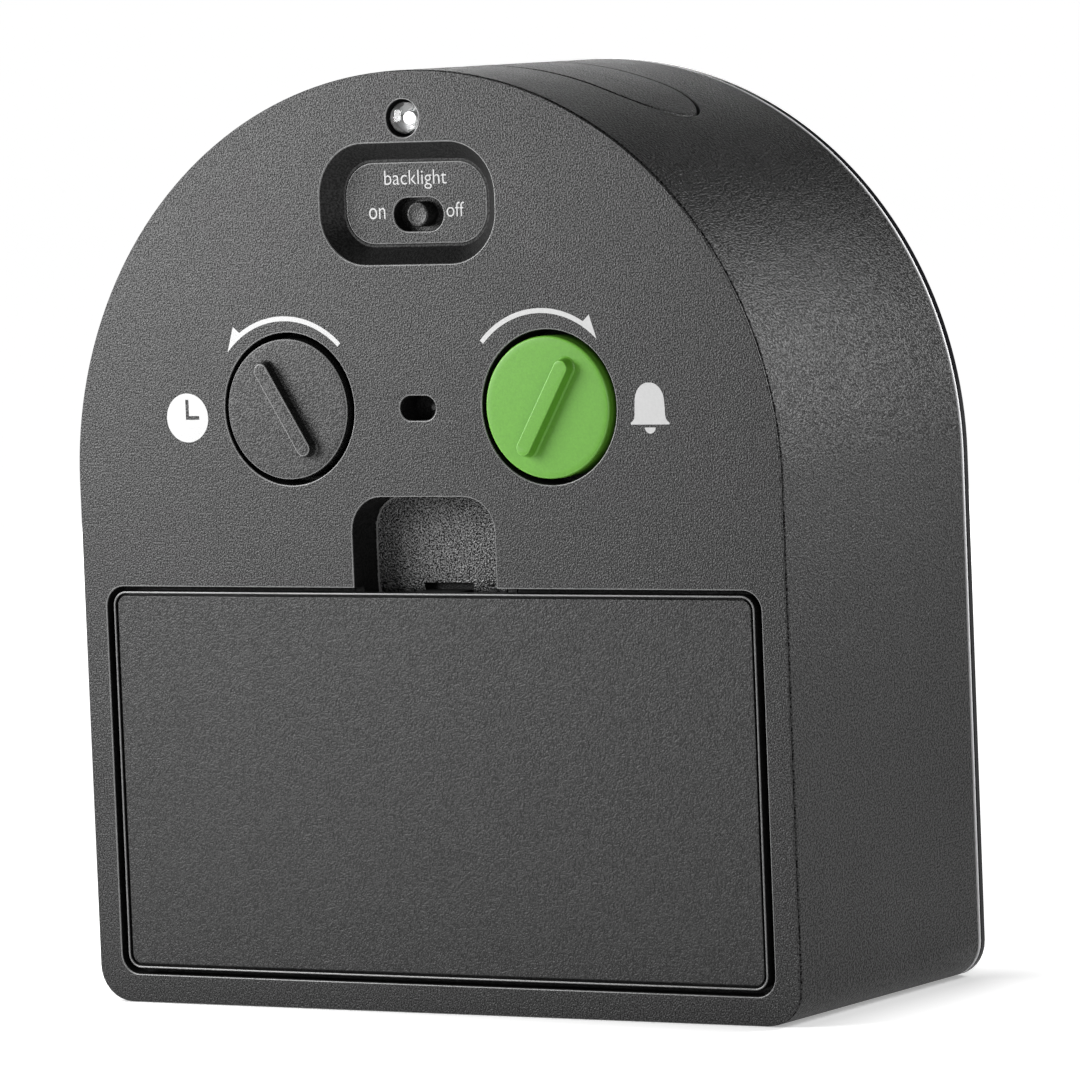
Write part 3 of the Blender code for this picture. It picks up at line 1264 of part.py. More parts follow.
def snooze_button():
    """The pill flush with the arch, its flange under the wall, its stem and the switch's plunger."""
    flange_outer = ARCH_RADIUS - WALL - SEAT
    flange_inner = flange_outer - BUTTON_FLANGE
    centre = (0, button_y())
    cap_shape = stadium(centre, BUTTON_LENGTH - 2 * SEAT, BUTTON_WIDTH - 2 * SEAT)
    grow = 2 * BUTTON_FLANGE_OUT
    flange_shape = stadium(centre, BUTTON_LENGTH + grow, BUTTON_WIDTH + grow)
    button = arch_slice("snooze_button", ARCH_RADIUS, flange_inner, CHARCOAL)
    shape_with(button, "INTERSECT", [plate("button_pill", [cap_shape], ARCH_Z, HEIGHT + WALL, upright=True)])
    flange = arch_slice("button_flange", flange_outer, flange_inner)
    flange_pill = plate("flange_pill", [flange_shape], ARCH_Z, HEIGHT + WALL, upright=True)
    shape_with(flange, "INTERSECT", [flange_pill])
    stem_bottom = SNOOZE_TOP + BUTTON_TRAVEL + STEM_CLEAR
    stem_top = ARCH_Z + flange_inner + BUTTON_FLANGE / 2
    round_stem = circle((0, stem_y()), STEM_RADIUS, SMALL_STEPS)
    stem = plate("button_stem", [round_stem], stem_bottom, stem_top, upright=True)
    shape_with(button, "UNION", [flange, stem])
    set_axis(button, 0, button_y(), HEIGHT)
    plunger = plate(
        "snooze_plunger",
        [circle((0, stem_y()), PLUNGER_RADIUS, SMALL_STEPS)],
        SNOOZE_TOP - PLUNGER_DEPTH,
        stem_bottom - SEAT,
        WHITE,
        upright=True,
    )
    set_axis(plunger, 0, stem_y(), stem_bottom)


def buzzer():
    """The sounder on the bulkhead, midway between the movement and the top of the case."""
    front = BULKHEAD_REAR + SEAT
    rear = front + BUZZER_LENGTH
    profile = [
        (0, rear),
        (BUZZER_RADIUS, rear),
        (BUZZER_RADIUS, front),
        (BUZZER_MOUTH, front),
        (BUZZER_MOUTH, front + BUZZER_LENGTH / 2),
        (0, front + BUZZER_LENGTH / 2),
    ]
    turned("buzzer", profile, (0, (PLATE_TOP + HEIGHT - WALL) / 2), BLACK, HIDDEN_STEPS)


def along_x(profile, name, centre, finish, facing):
    """A turned piece laid along X; the profile is (radius, distance) from its far end back."""
    made = turned(name, profile, (0, 0), finish, HIDDEN_STEPS)
    lie = Matrix.Rotation(-facing * math.pi / 2, 4, "Z")
    made.data.transform(Matrix.Translation(centre) @ lie)
    return made


def batteries():
    """Two cells lying in opposite directions, with springs at their flat ends and plates at both."""
    half = bay_length() / 2
    body = CELL_LENGTH - NUB_LENGTH
    radius = CELL_DIAMETER / 2
    profile = [
        (0, CELL_LENGTH),
        (NUB_RADIUS, CELL_LENGTH),
        (NUB_RADIUS, body),
        (radius, body),
        (radius, 0),
        (0, 0),
    ]
    rise = (CELL_DIAMETER + CELL_PLAY) / 2
    spring_start = -half + SEAT + CONTACT_THICKNESS + SEAT / 2
    cell_start = spring_start + SPRING_LENGTH + SEAT / 2
    for name, facing in (("lower", 1), ("upper", -1)):
        z = DOOR_MIDDLE - facing * rise
        along_x(profile, f"battery_cell_{name}", (facing * cell_start, cell_y(), z), CELL_SLEEVE, facing)
        contact_spring(f"contact_spring_{name}", facing * spring_start, z, facing)
        kind = "negative" if facing == 1 else "positive"
        contact_plate(f"contact_{kind}", -1, z, CONTACT_SIZE)
    contact_plate("contact_bridge", 1, DOOR_MIDDLE, CONTACT_SIZE + 2 * rise)


def contact_plate(name, side, z, height):
    """A sheet contact against an end wall of the battery bay."""
    wall = side * (bay_length() / 2 - SEAT)
    low, high = sorted((wall, wall - side * CONTACT_THICKNESS))
    sheet = block(((low + high) / 2, cell_y()), high - low, CONTACT_SIZE)
    plate(name, [sheet], z - height / 2, z + height / 2, STEEL, upright=True)


def contact_spring(name, start, z, facing):
    """A conical coil spring between its contact plate and the cell's flat end."""
    count = SPRING_TURNS * SPRING_STEPS
    length = SPRING_LENGTH - 2 * SPRING_WIRE
    points = []
    for index in range(count + 1):
        share = index / count
        angle = 2 * math.pi * index / SPRING_STEPS
        radius = SPRING_BASE + (SPRING_TIP - SPRING_BASE) * share
        x = start + facing * (SPRING_WIRE + length * share)
        points.append(Vector((x, cell_y() + radius * math.cos(angle), z + radius * math.sin(angle))))
    curve = bpy.data.curves.new(name, "CURVE")
    curve.dimensions = "3D"
    curve.bevel_depth = SPRING_WIRE
    curve.bevel_resolution = 1
    curve.use_fill_caps = True
    spline = curve.splines.new("POLY")
    spline.points.add(count)
    for point, place_ in zip(spline.points, points):
        point.co = (*place_, 1)
    place(name, baked(bpy.data.objects.new(name, curve), Matrix.Identity(4)), STEEL)
    turns = [(near - far).length for near, far in zip(points, points[SPRING_STEPS:])]
    print(f"{name}: least gap between turns {(min(turns) - 2 * SPRING_WIRE) / MM:.2f} mm")


def screw(name, centre, seat, length, head, shank, facing=1):
    """A pan-head screw; facing is the side its head is on along Y."""
    profile = [
        (0, HEAD_HEIGHT),
        (head - HEAD_HEIGHT / 2, HEAD_HEIGHT),
        (head, HEAD_HEIGHT / 2),
        (head, 0),
        (shank, 0),
        (shank, -length),
        (0, -length),
    ]
    placed = [(radius, seat + facing * along) for radius, along in profile]
    turned(name, placed, centre, STEEL, SMALL_STEPS)


def screws():
    """Cover, board, mount and movement screws, each on its own seat."""
    for index, centre in enumerate(cover_posts()):
        name = f"cover_screw_{index + 1}"
        screw(name, centre, cover_screw_seat(), COVER_SCREW_LENGTH, COVER_SCREW_HEAD, COVER_SCREW_SHANK)
    sides = ("left", "right")
    board_front = board_rear() - BOARD_THICKNESS - SEAT
    for name, centre in zip(sides, board_bosses()):
        length = BOARD_THICKNESS + BOSS_RADIUS * 2
        screw(f"board_screw_{name}", centre, board_front, length, SMALL_SCREW_HEAD, SMALL_SCREW_SHANK, -1)
    plate_rear = FRONT_PLATE + PLATE + SEAT
    for name, centre in zip(sides, mount_places()):
        length = plate_rear - BULKHEAD_FRONT - SEAT
        screw(f"mount_screw_{name}", centre, plate_rear, length, SMALL_SCREW_HEAD, SMALL_SCREW_SHANK)
    for name, centre in zip(sides, SCREWED_PILLARS):
        seat = BACK_PLATE_REAR + SEAT
        length = seat - LAYER_A
        screw(f"movement_screw_{name}", centre, seat, length, SMALL_SCREW_HEAD, SMALL_SCREW_SHANK)


case_sleeve()
front_pieces()
movement_plates()
motor()
setting_trains()
running_train()
hands()
lamps()
circuit_board()
buzzer()
batteries()
screws()
switch_slider()
snooze_button()
knob("time_knob", TIME_AXIS, TIME_GRIP_LEAN, BLACK)
knob("alarm_knob", ALARM_AXIS, ALARM_GRIP_LEAN, GREEN)
battery_door()
rear_cover()
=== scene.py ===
import math

import bmesh
import bpy
from mathutils import Matrix, Vector


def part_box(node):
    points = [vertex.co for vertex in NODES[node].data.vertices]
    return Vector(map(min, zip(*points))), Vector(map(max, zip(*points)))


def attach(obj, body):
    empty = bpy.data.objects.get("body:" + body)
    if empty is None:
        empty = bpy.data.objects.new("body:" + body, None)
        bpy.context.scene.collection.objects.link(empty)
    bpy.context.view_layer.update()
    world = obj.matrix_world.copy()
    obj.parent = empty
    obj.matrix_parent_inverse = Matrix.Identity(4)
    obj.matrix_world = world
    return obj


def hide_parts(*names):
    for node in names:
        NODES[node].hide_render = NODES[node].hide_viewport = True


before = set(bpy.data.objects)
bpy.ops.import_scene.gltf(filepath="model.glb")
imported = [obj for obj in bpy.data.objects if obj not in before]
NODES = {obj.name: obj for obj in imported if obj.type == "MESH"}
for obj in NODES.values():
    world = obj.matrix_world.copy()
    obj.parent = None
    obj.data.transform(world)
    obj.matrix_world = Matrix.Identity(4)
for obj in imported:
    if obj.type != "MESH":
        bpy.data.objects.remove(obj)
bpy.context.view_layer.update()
MM = 0.001

# Sizes of the case and its features: those of the solids, a few of them moved to follow the photo
WIDTH = 84.0 * MM
HEIGHT = 96.8 * MM
RADIUS = WIDTH / 2
ARCH_Z = HEIGHT - RADIUS
CORNER = 3.8 * MM
LEAST_CORNER = 0.4 * MM
WALL = 1.8 * MM
SPIGOT_OUT = 2.1 * MM
SPIGOT_IN = 3.2 * MM
POCKET_WALL = 1.4 * MM
Y_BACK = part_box("rear_cover")[1][1]
Y_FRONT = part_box("front_bezel")[0][1]
SLEEVE_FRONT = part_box("case_sleeve")[0][1]
CENTRE = (0.0, ARCH_Z)
KNOB_SPREAD = 15.55 * MM
KNOB_Z = ARCH_Z + 7.5 * MM
KNOB_RADIUS = 7.25 * MM
WELL_RADIUS = 7.9 * MM
WELL_FLOOR = Y_BACK - 5.2 * MM
KNOB_FACE = Y_BACK + 0.35 * MM
GRIP_LENGTH = 11.1 * MM
GRIP_WIDTH = 1.78 * MM
GRIP_HEIGHT = 1.2 * MM
RECESS = (0.4 * MM, ARCH_Z + 28.4 * MM)
RECESS_FLOOR = Y_BACK - 2.0 * MM
SWITCH = (0.2 * MM, ARCH_Z + 27.2 * MM)
SENSOR = (0.5 * MM, ARCH_Z + 37.1 * MM)
SENSOR_HOLE = 1.95 * MM
SLOT = (0.0, KNOB_Z)
SLOT_FLOOR = Y_BACK - 3.2 * MM
DOOR_WIDTH = 77.6 * MM
DOOR_HEIGHT = 40.5 * MM
DOOR_LOW = 3.2 * MM
# How far the opening reaches past the door: below it (above it by half), and at each side
DOOR_PLAY = 0.25 * MM
SIDE_PLAY = 0.42 * MM
DOOR_TOP = DOOR_LOW + DOOR_HEIGHT
DOOR_MIDDLE = DOOR_LOW + DOOR_HEIGHT / 2
LEDGE = Y_BACK - 2.1 * MM
FRAME_REAR = Y_BACK - 5.2 * MM
SCREW_INSET = 4.3 * MM
NOTCH_HALF = 8.55 * MM
NOTCH_TOP = DOOR_TOP + 9.5 * MM
NOTCH_CORNER = 3.6 * MM
NOTCH_FLOOR = Y_BACK - 4.6 * MM
BUTTON_Y = Y_BACK - 20.8 * MM
BUTTON_LENGTH = 43.2 * MM
BUTTON_WIDTH = 13.2 * MM
PRINT_DEPTH = 0.025 * MM
DIAL_PRINT_DEPTH = 0.03 * MM

# Fineness of curves, and how meshes are joined and shaded
ARCH_STEPS = 96
CORNER_STEPS = 8
ROUND_STEPS = 72
WELD = 2e-7
SMOOTH_ANGLE = 35

# Range of normal.y on a rounded edge's faces
STEEP = 0.15
FLAT = 0.985

# Brightness of the floor beside the clock, dimmed there as a painted contact shadow, and further out, the
# distance over which it rises, and of the room
GLOW_IN_PAINTED_SHADOW = 0.32
GLOW_FAR = 0.95
PAINTED_SHADOW_REACH = 14 * MM
ROOM = 0.065

# The photograph's view: focal length and frame in pixels, turns in radians, shift in case widths
FOCAL_PIXELS = 7732.8
FRAME_PIXELS = 1080
FILM_WIDTH = 36
VIEW_TURN = 0.5371
VIEW_TILT = 0.072
VIEW_ROLL = -0.0396
VIEW_SHIFT = (-0.11935, 0.579, 9.4501)


# Outlines in the plane of the back, as (x, z) points


def polar(origin, distance, degrees):
    angle = math.radians(degrees)
    return (origin[0] + distance * math.cos(angle), origin[1] + distance * math.sin(angle))


def arc(centre, radius, start, end, steps):
    return [polar(centre, radius, start + (end - start) * step / steps) for step in range(steps + 1)]


def circle(centre, radius, steps=ROUND_STEPS):
    return arc(centre, radius, 3, 363, steps)[:-1]


def round_hole(centre, radius, steps=ROUND_STEPS):
    """The outline function of a round hole."""
    return lambda inset: circle(centre, radius - inset, steps)


def arch(inset):
    half = RADIUS - inset
    corner = max(CORNER - inset, LEAST_CORNER)
    right = arc((half - corner, inset + corner), corner, -90, 0, CORNER_STEPS)
    left = arc((corner - half, inset + corner), corner, 180, 270, CORNER_STEPS)
    return right + arc(CENTRE, half, 0, 180, ARCH_STEPS) + left


def rounded(centre, width, height, radius, steps=CORNER_STEPS):
    across = width / 2 - radius
    up = height / 2 - radius
    outline = []
    for turn, (side, rise) in enumerate(((1, 1), (-1, 1), (-1, -1), (1, -1))):
        corner = (centre[0] + side * across, centre[1] + rise * up)
        outline += arc(corner, radius, turn * 90, turn * 90 + 90, steps)
    return outline


def stadium(centre, length, width, steps=20, straight=1):
    reach = (length - width) / 2
    outline = []
    for side, start in ((1, -90), (-1, 90)):
        end = (centre[0] + side * reach, centre[1])
        outline += arc(end, width / 2, start, start + 180, steps)
        for step in range(1, straight):
            outline.append((end[0] - 2 * side * reach * step / straight, end[1] + side * width / 2))
    return outline


def turned(outline, centre, degrees):
    c = math.cos(math.radians(degrees))
    s = math.sin(math.radians(degrees))
    moved = [(x - centre[0], z - centre[1]) for x, z in outline]
    return [(centre[0] + x * c - z * s, centre[1] + x * s + z * c) for x, z in moved]


def door_outline(inset):
    return rounded((0, DOOR_MIDDLE), DOOR_WIDTH - 2 * inset, DOOR_HEIGHT - 2 * inset, 1.9 * MM - inset)


def notched_opening(inset):
    """The door's opening joined with the thumb notch above it, as one outline."""
    half = DOOR_WIDTH / 2 + SIDE_PLAY - inset
    low = DOOR_LOW - DOOR_PLAY + inset
    high = DOOR_TOP + DOOR_PLAY / 2 - inset
    corner = 2.1 * MM - inset
    side = NOTCH_HALF - inset
    small = NOTCH_CORNER - inset
    right = arc((half - corner, low + corner), corner, -90, 0, CORNER_STEPS)
    right += arc((half - corner, high - corner), corner, 0, 90, CORNER_STEPS)
    right += [(side, high)]
    right += arc((side - small, NOTCH_TOP - inset - small), small, 0, 90, CORNER_STEPS)
    return right + [(-x, z) for x, z in reversed(right)]


def notch_outline(grow):
    low = DOOR_TOP - NOTCH_CORNER - grow
    high = NOTCH_TOP + grow
    return rounded((0, (low + high) / 2), 2 * (NOTCH_HALF + grow), high - low, NOTCH_CORNER + grow)


def recess_outline(inset):
    return rounded(RECESS, 20.9 * MM - 2 * inset, 12.4 * MM - 2 * inset, 5.4 * MM - inset, 14)


def edge(y, radius, steps=4):
    """(inset, y) steps of a rounded edge whose flat face lies at y, from the face to the side."""
    made = []
    for step in range(steps + 1):
        angle = math.pi / 2 * step / steps
        made.append((radius * (1 - math.sin(angle)), y - radius * (1 - math.cos(angle))))
    return made


def lip(y, radius, steps=4):
    """The same for the rim of a hole, whose outline opens towards the face."""
    return [(-inset, level) for inset, level in edge(y, radius, steps)]


def steps_from(y, pairs, start=0.0):
    """(distance, y) steps from pairs in millimetres, counted from a level and a first distance."""
    return [(start + distance * MM, y + level * MM) for distance, level in pairs]


# Meshes


def add_object(name, data):
    made = bpy.data.objects.new(name, data)
    bpy.context.scene.collection.objects.link(made)
    return made


def to_mesh(shape, name="part"):
    mesh = bpy.data.meshes.new(name)
    shape.to_mesh(mesh)
    shape.free()
    return mesh


def from_curve(curve):
    """The mesh of a curve or of lettering."""
    guide = add_object("guide", curve)
    graph = bpy.context.evaluated_depsgraph_get()
    mesh = bpy.data.meshes.new_from_object(guide.evaluated_get(graph))
    bpy.data.objects.remove(guide)
    return mesh


def fill(outlines, y):
    """A flat face at a level, with the outlines inside the first one left open."""
    curve = bpy.data.curves.new("fill", "CURVE")
    curve.dimensions = "2D"
    curve.fill_mode = "BOTH"
    for outline in outlines:
        spline = curve.splines.new("POLY")
        spline.points.add(len(outline) - 1)
        for point, (x, z) in zip(spline.points, outline):
            point.co = (x, z, 0, 1)
        spline.use_cyclic_u = True
    mesh = from_curve(curve)
    mesh.transform(Matrix.Translation((0, y, 0)) @ Matrix.Rotation(math.pi / 2, 4, "X"))
    return mesh


def skin(loops, closed=False):
    """Quads between loops of points with as many points each."""
    shape = bmesh.new()
    rows = [[shape.verts.new(point) for point in loop] for loop in loops]
    pairs = list(zip(rows, rows[1:]))
    if closed:
        pairs.append((rows[-1], rows[0]))
    for near, far in pairs:
        for index in range(len(near)):
            after = (index + 1) % len(near)
            shape.faces.new((near[index], near[after], far[after], far[index]))
    return to_mesh(shape)


def levels(outline, steps):
    """Loops of points from an outline function and (inset, y) steps."""
    return [[(x, y, z) for x, z in outline(inset)] for inset, y in steps]


def sheet(loops):
    """A plate or shell: the first loop is its outside and the rest are holes, each (outline, steps)."""
    parts = [skin(levels(outline, steps)) for outline, steps in loops]
    for end in (0, -1):
        parts.append(fill([outline(steps[end][0]) for outline, steps in loops], loops[0][1][end][1]))
    return parts


def cup(outline, steps):
    """A solid through (inset, y) steps, closed at both ends."""
    return sheet([(outline, steps)])


def ring(outline, steps):
    """A solid ring through (inset, y) steps."""
    return [skin(levels(outline, steps), closed=True)]


def lathe(profile, centre, steps=ROUND_STEPS):
    """A turned solid from (radius, y) points; its ends are closed flat."""
    return cup(lambda radius: circle(centre, radius, steps), profile)


def lathe_ring(profile, centre, steps=ROUND_STEPS):
    """A turned ring from (radius, y) points."""
    return ring(lambda radius: circle(centre, radius, steps), profile)


def bar(low, high, radius):
    """A box between two corners with rounded long edges."""
    centre = ((low[0] + high[0]) / 2, (low[2] + high[2]) / 2)
    width = high[0] - low[0]
    tall = high[2] - low[2]

    def outline(inset):
        return rounded(centre, width - 2 * inset, tall - 2 * inset, max(radius - inset, 0.02 * MM), 3)

    soft = radius / 2
    return cup(outline, [(soft, high[1]), (0, high[1] - soft), (0, low[1] + soft), (soft, low[1])])


def joined(parts):
    """Several meshes as one welded shape, with its faces turned outwards."""
    shape = bmesh.new()
    for part in parts:
        shape.from_mesh(part)
        bpy.data.meshes.remove(part)
    bmesh.ops.remove_doubles(shape, verts=shape.verts, dist=WELD)
    bmesh.ops.recalc_face_normals(shape, faces=shape.faces)
    return shape


def shade_edges(mesh):
    mesh.shade_smooth()
    mesh.set_sharp_from_angle(angle=math.radians(SMOOTH_ANGLE))


def piece(name, parts, body, material, nodes=(), weighted=True, facing=None, extra=()):
    """One object from several meshes; it rides on a body and stands for CAD nodes."""
    shape = joined(parts)
    if facing:
        shape.normal_update()
        for face in shape.faces:
            if face.normal.dot(Vector(facing)) < 0:
                face.normal_flip()
    mesh = to_mesh(shape, name)
    shade_edges(mesh)
    made = add_object(name, mesh)
    for one in (material, *extra):
        mesh.materials.append(one)
    if weighted:
        modifier = made.modifiers.new("normals", "WEIGHTED_NORMAL")
        modifier.keep_sharp = True
        modifier.weight = 100
    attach(made, body)
    if nodes:
        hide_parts(*nodes)
    return made


# Materials


class Nodes:
    """A short way to write a material's node tree; in names of inputs, _ stands for a space."""

    def __init__(self, name):
        self.material = bpy.data.materials.new(name)
        self.material.use_nodes = True
        self.tree = self.material.node_tree
        self.shader = self.tree.nodes["Principled BSDF"]
        self.place = self.add("ShaderNodeTexCoord").outputs["Object"]

    def add(self, kind, **settings):
        node = self.tree.nodes.new(kind)
        for key, value in settings.items():
            if hasattr(node, key):
                setattr(node, key, value)
            else:
                node.inputs[key.replace("_", " ")].default_value = value
        return node

    def link(self, start, end):
        self.tree.links.new(start, end)

    def set(self, **values):
        """Plain values on the shader's inputs."""
        for key, value in values.items():
            self.shader.inputs[key.replace("_", " ")].default_value = value

    def drive(self, **sources):
        """Links to the shader's inputs."""
        for key, source in sources.items():
            self.link(source, self.shader.inputs[key.replace("_", " ")])

    def scaled(self, stretch):
        """The place, stretched along the axes."""
        mapping = self.add("ShaderNodeMapping", Scale=stretch)
        self.link(self.place, mapping.inputs["Vector"])
        return mapping.outputs["Vector"]

    def noise(self, size, detail=3.0, roughness=0.55, stretch=None):
        node = self.add("ShaderNodeTexNoise", Scale=1 / size, Detail=detail, Roughness=roughness)
        self.link(self.scaled(stretch) if stretch else self.place, node.inputs["Vector"])
        return node.outputs["Fac"]

    def ramp(self, source, stops):
        node = self.add("ShaderNodeValToRGB")
        elements = node.color_ramp.elements
        for index, (position, colour) in ((0, stops[0]), (1, stops[-1])):
            elements[index].position = position
            elements[index].color = (*colour, 1)
        for position, colour in stops[1:-1]:
            elements.new(position).color = (*colour, 1)
        self.link(source, node.inputs["Fac"])
        return node.outputs["Color"]

    def span(self, source, low, high, start=0.0, end=1.0):
        node = self.add("ShaderNodeMapRange", From_Min=start, From_Max=end, To_Min=low, To_Max=high)
        self.link(source, node.inputs["Value"])
        return node.outputs["Result"]

    def bump(self, source, depth):
        node = self.add("ShaderNodeBump", Strength=1.0, Distance=depth)
        self.link(source, node.inputs["Height"])
        self.drive(Normal=node.outputs["Normal"])

    def combine(self, operation, *sources):
        node = self.add("ShaderNodeMath", operation=operation)
        for source, socket in zip(sources, node.inputs):
            self.link(source, socket)
        return node.outputs["Value"]

    def vector(self, operation, source, other=(0, 0, 0)):
        node = self.add("ShaderNodeVectorMath", operation=operation)
        self.link(source, node.inputs[0])
        node.inputs[1].default_value = other
        return node.outputs["Value" if operation == "LENGTH" else "Vector"]


def grey(level):
    return (level, level, level)


def shade(colour, share):
    return tuple(channel * share for channel in colour)


def plastic(name, colour, roughness, grain, depth, pit_shade=0.12, detail=2.0, specular=0.5, pit_gloss_shade=0.0):
    """Moulded plastic: grain in the surface whose tone is partly mottled and partly painted shade, darker in
    the pits of the bump and lighter on its crests, and slight changes of gloss.
    """
    made = Nodes(name)
    fine = made.noise(grain, detail, 0.5, (1, 0.6, 1))
    reach = 0.12 if pit_gloss_shade else 0.2

    # Tone from the bump's own noise: darker in the pits as painted shade, lighter on the crests as painted
    # light
    def pits(tone, share):
        return made.ramp(fine, [(0.5 - reach, shade(tone, 1 - share)), (0.5 + reach, shade(tone, 1 + share))])

    broad = made.noise(9 * MM, 2.0)
    made.drive(Base_Color=pits(colour, pit_shade), Roughness=made.span(broad, roughness - 0.04, roughness + 0.04))
    made.bump(fine, depth)
    made.set(Specular_IOR_Level=specular)
    # Sheen tinted lower in the pits and higher on the crests: painted shade and light on the reflection
    if pit_gloss_shade:
        made.drive(Specular_Tint=pits(grey(1), pit_gloss_shade))
    return made.material


def metal(name, colour, roughness, grain, depth, stretch=(1, 1, 1)):
    """Metal with fine marks, drawn out along one direction if stretched."""
    made = Nodes(name)
    made.place = made.scaled(stretch)
    marks = made.noise(grain, 4.0, 0.6)
    tone = made.ramp(marks, [(0.25, shade(colour, 0.82)), (0.75, colour)])
    made.drive(Base_Color=tone, Roughness=made.span(marks, roughness * 0.75, roughness * 1.3))
    made.bump(marks, depth)
    made.set(Metallic=1.0)
    return made.material


def clear_plastic(name, tint, roughness, index):
    """Clear plastic with faint streaks."""
    made = Nodes(name)
    streak = made.noise(4 * MM, 2.0)
    tone = made.ramp(streak, [(0.2, shade(tint, 0.97)), (0.8, tint)])
    made.drive(Base_Color=tone, Roughness=made.span(streak, roughness * 0.6, roughness * 1.4))
    made.set(IOR=index, Transmission_Weight=1.0)
    return made.material


CHARCOAL = plastic("charcoal_grain", grey(0.006), 0.42, 0.17 * MM, 0.09 * MM, 0.5, 1.0, 0.38, 0.5)
CHARCOAL_DOOR = plastic("charcoal_door", grey(0.006), 0.42, 0.17 * MM, 0.11 * MM, 0.5, 1.0, 0.38, 0.22)
SLEEVE = plastic("charcoal_sleeve", grey(0.008), 0.46, 0.19 * MM, 0.14 * MM, 0.7, 1.0, 0.25, 0.95)
# Sunk faces: a little darker and much less glossy than the face, painted shade in recesses, grooves and the
# bay
POCKET_SHADE = plastic("charcoal_pocket_shade", grey(0.005), 0.5, 0.2 * MM, 0.05 * MM, 0.4, 1.0, 0.2, 0.3)
ERODED = plastic("charcoal_eroded", grey(0.055), 0.4, 0.18 * MM, 0.24 * MM, 0.95, 1.0, 0.65, 0.95)
# Rounded lips and ridges in a much paler grey than the charcoal: a painted highlight along the edges
EDGE_HIGHLIGHT = plastic("painted_edge_highlight", grey(0.15), 0.34, 0.25 * MM, 0.008 * MM, 0.25, 2.0, 0.6)
KNOB_BLACK = plastic("knob_black", grey(0.008), 0.42, 0.17 * MM, 0.06 * MM, 0.5, 1.0, 0.37, 0.4)
GREEN = plastic("knob_green", (0.1, 0.29, 0.024), 0.44, 0.22 * MM, 0.008 * MM, 0.06, 2.0, 0.38)
# The green knob's rounded edges in a paler, glossier green: a painted highlight
GREEN_EDGE_HIGHLIGHT = plastic("green_painted_edge_highlight", (0.14, 0.38, 0.045), 0.4, 0.22 * MM, 0.008 * MM, 0.06, 2.0, 0.45)
GLOSS = plastic("gloss_black", (0.005, 0.005, 0.006), 0.22, 2.0 * MM, 0.002 * MM, 0.1, 2.0, 0.08)
TRIM = plastic("bright_trim", (0.74, 0.74, 0.75), 0.3, 0.6 * MM, 0.003 * MM, 0.05)
WHITE = plastic("white_moulding", (0.72, 0.72, 0.69), 0.45, 0.4 * MM, 0.01 * MM, 0.04)
INK = plastic("printed_white", grey(0.5), 0.6, 0.25 * MM, 0.006 * MM, 0.03)
DIAL = plastic("dial_black", (0.014, 0.014, 0.016), 0.6, 0.22 * MM, 0.012 * MM, 0.1)
STEEL = metal("plated_steel", grey(0.62), 0.3, 0.5 * MM, 0.004 * MM, (1, 6, 1))
BRASS = metal("turned_brass", (0.72, 0.51, 0.2), 0.28, 0.4 * MM, 0.004 * MM, (1, 8, 1))
SILVERED = metal("silvered_cup", grey(0.28), 0.42, 0.3 * MM, 0.01 * MM)
CLEAR = clear_plastic("clear_window", (0.97, 0.98, 0.98), 0.02, 1.28)
DOME = clear_plastic("clear_dome", (0.96, 0.97, 0.97), 0.04, 1.49)


def wound_copper():
    """Copper wire laid side by side round the coil."""
    made = Nodes("wound_copper")
    wave = made.add("ShaderNodeTexWave", bands_direction="X", Scale=1 / (0.4 * MM), Distortion=0.6)
    made.link(made.place, wave.inputs["Vector"])
    wires = wave.outputs["Fac"]
    tone = made.ramp(wires, [(0.1, (0.25, 0.08, 0.03)), (0.7, (0.72, 0.3, 0.14))])
    made.drive(Base_Color=tone, Roughness=made.span(wires, 0.45, 0.28))
    made.bump(wires, 0.06 * MM)
    made.set(Metallic=1.0)
    return made.material


def board_coat():
    """Green coated board with the tracks showing through."""
    made = Nodes("coated_board")
    greens = {"Color1": (0.015, 0.1, 0.04, 1), "Color2": (0.02, 0.12, 0.05, 1)}
    greens["Mortar"] = (0.06, 0.26, 0.1, 1)
    cells = made.add("ShaderNodeTexBrick", Scale=1 / (6 * MM), Mortar_Size=0.035, **greens)
    turn = made.add("ShaderNodeMapping", Rotation=(math.pi / 2, 0, 0))
    made.link(made.place, turn.inputs["Vector"])
    made.link(turn.outputs["Vector"], cells.inputs["Vector"])
    fine = made.noise(0.5 * MM)
    made.drive(Base_Color=cells.outputs["Color"], Roughness=made.span(fine, 0.3, 0.45))
    made.bump(cells.outputs["Fac"], 0.03 * MM)
    return made.material


def cell_sleeve(name, facing):
    """A plain two-tone cell: coloured sleeve, pale band at the nub end, bare steel ends."""
    made = Nodes(name)
    split = made.add("ShaderNodeSeparateXYZ")
    made.link(made.place, split.inputs["Vector"])
    along = made.span(split.outputs["X"], 0.0, 1.0, facing * -23.05 * MM, facing * 27.45 * MM)
    steel = grey(0.6)
    dark = (0.03, 0.035, 0.045)
    band = (0.55, 0.33, 0.09)
    tones = [(0.0, steel), (0.012, steel), (0.014, dark), (0.7, dark)]
    tones += [(0.702, band), (0.955, band), (0.957, steel), (1.0, steel)]
    bare = [(0.0, grey(1)), (0.013, grey(1)), (0.014, grey(0))]
    bare += [(0.956, grey(0)), (0.957, grey(1)), (1.0, grey(1))]
    fine = made.noise(1.2 * MM)
    made.drive(Base_Color=made.ramp(along, tones), Metallic=made.ramp(along, bare))
    made.drive(Roughness=made.span(fine, 0.22, 0.36))
    made.bump(fine, 0.004 * MM)
    return made.material


def carry(material, *names):
    """A CAD node whose shape stays, with a better material."""
    for name in names:
        node = NODES[name]
        node.data.materials.clear()
        node.data.materials.append(material)


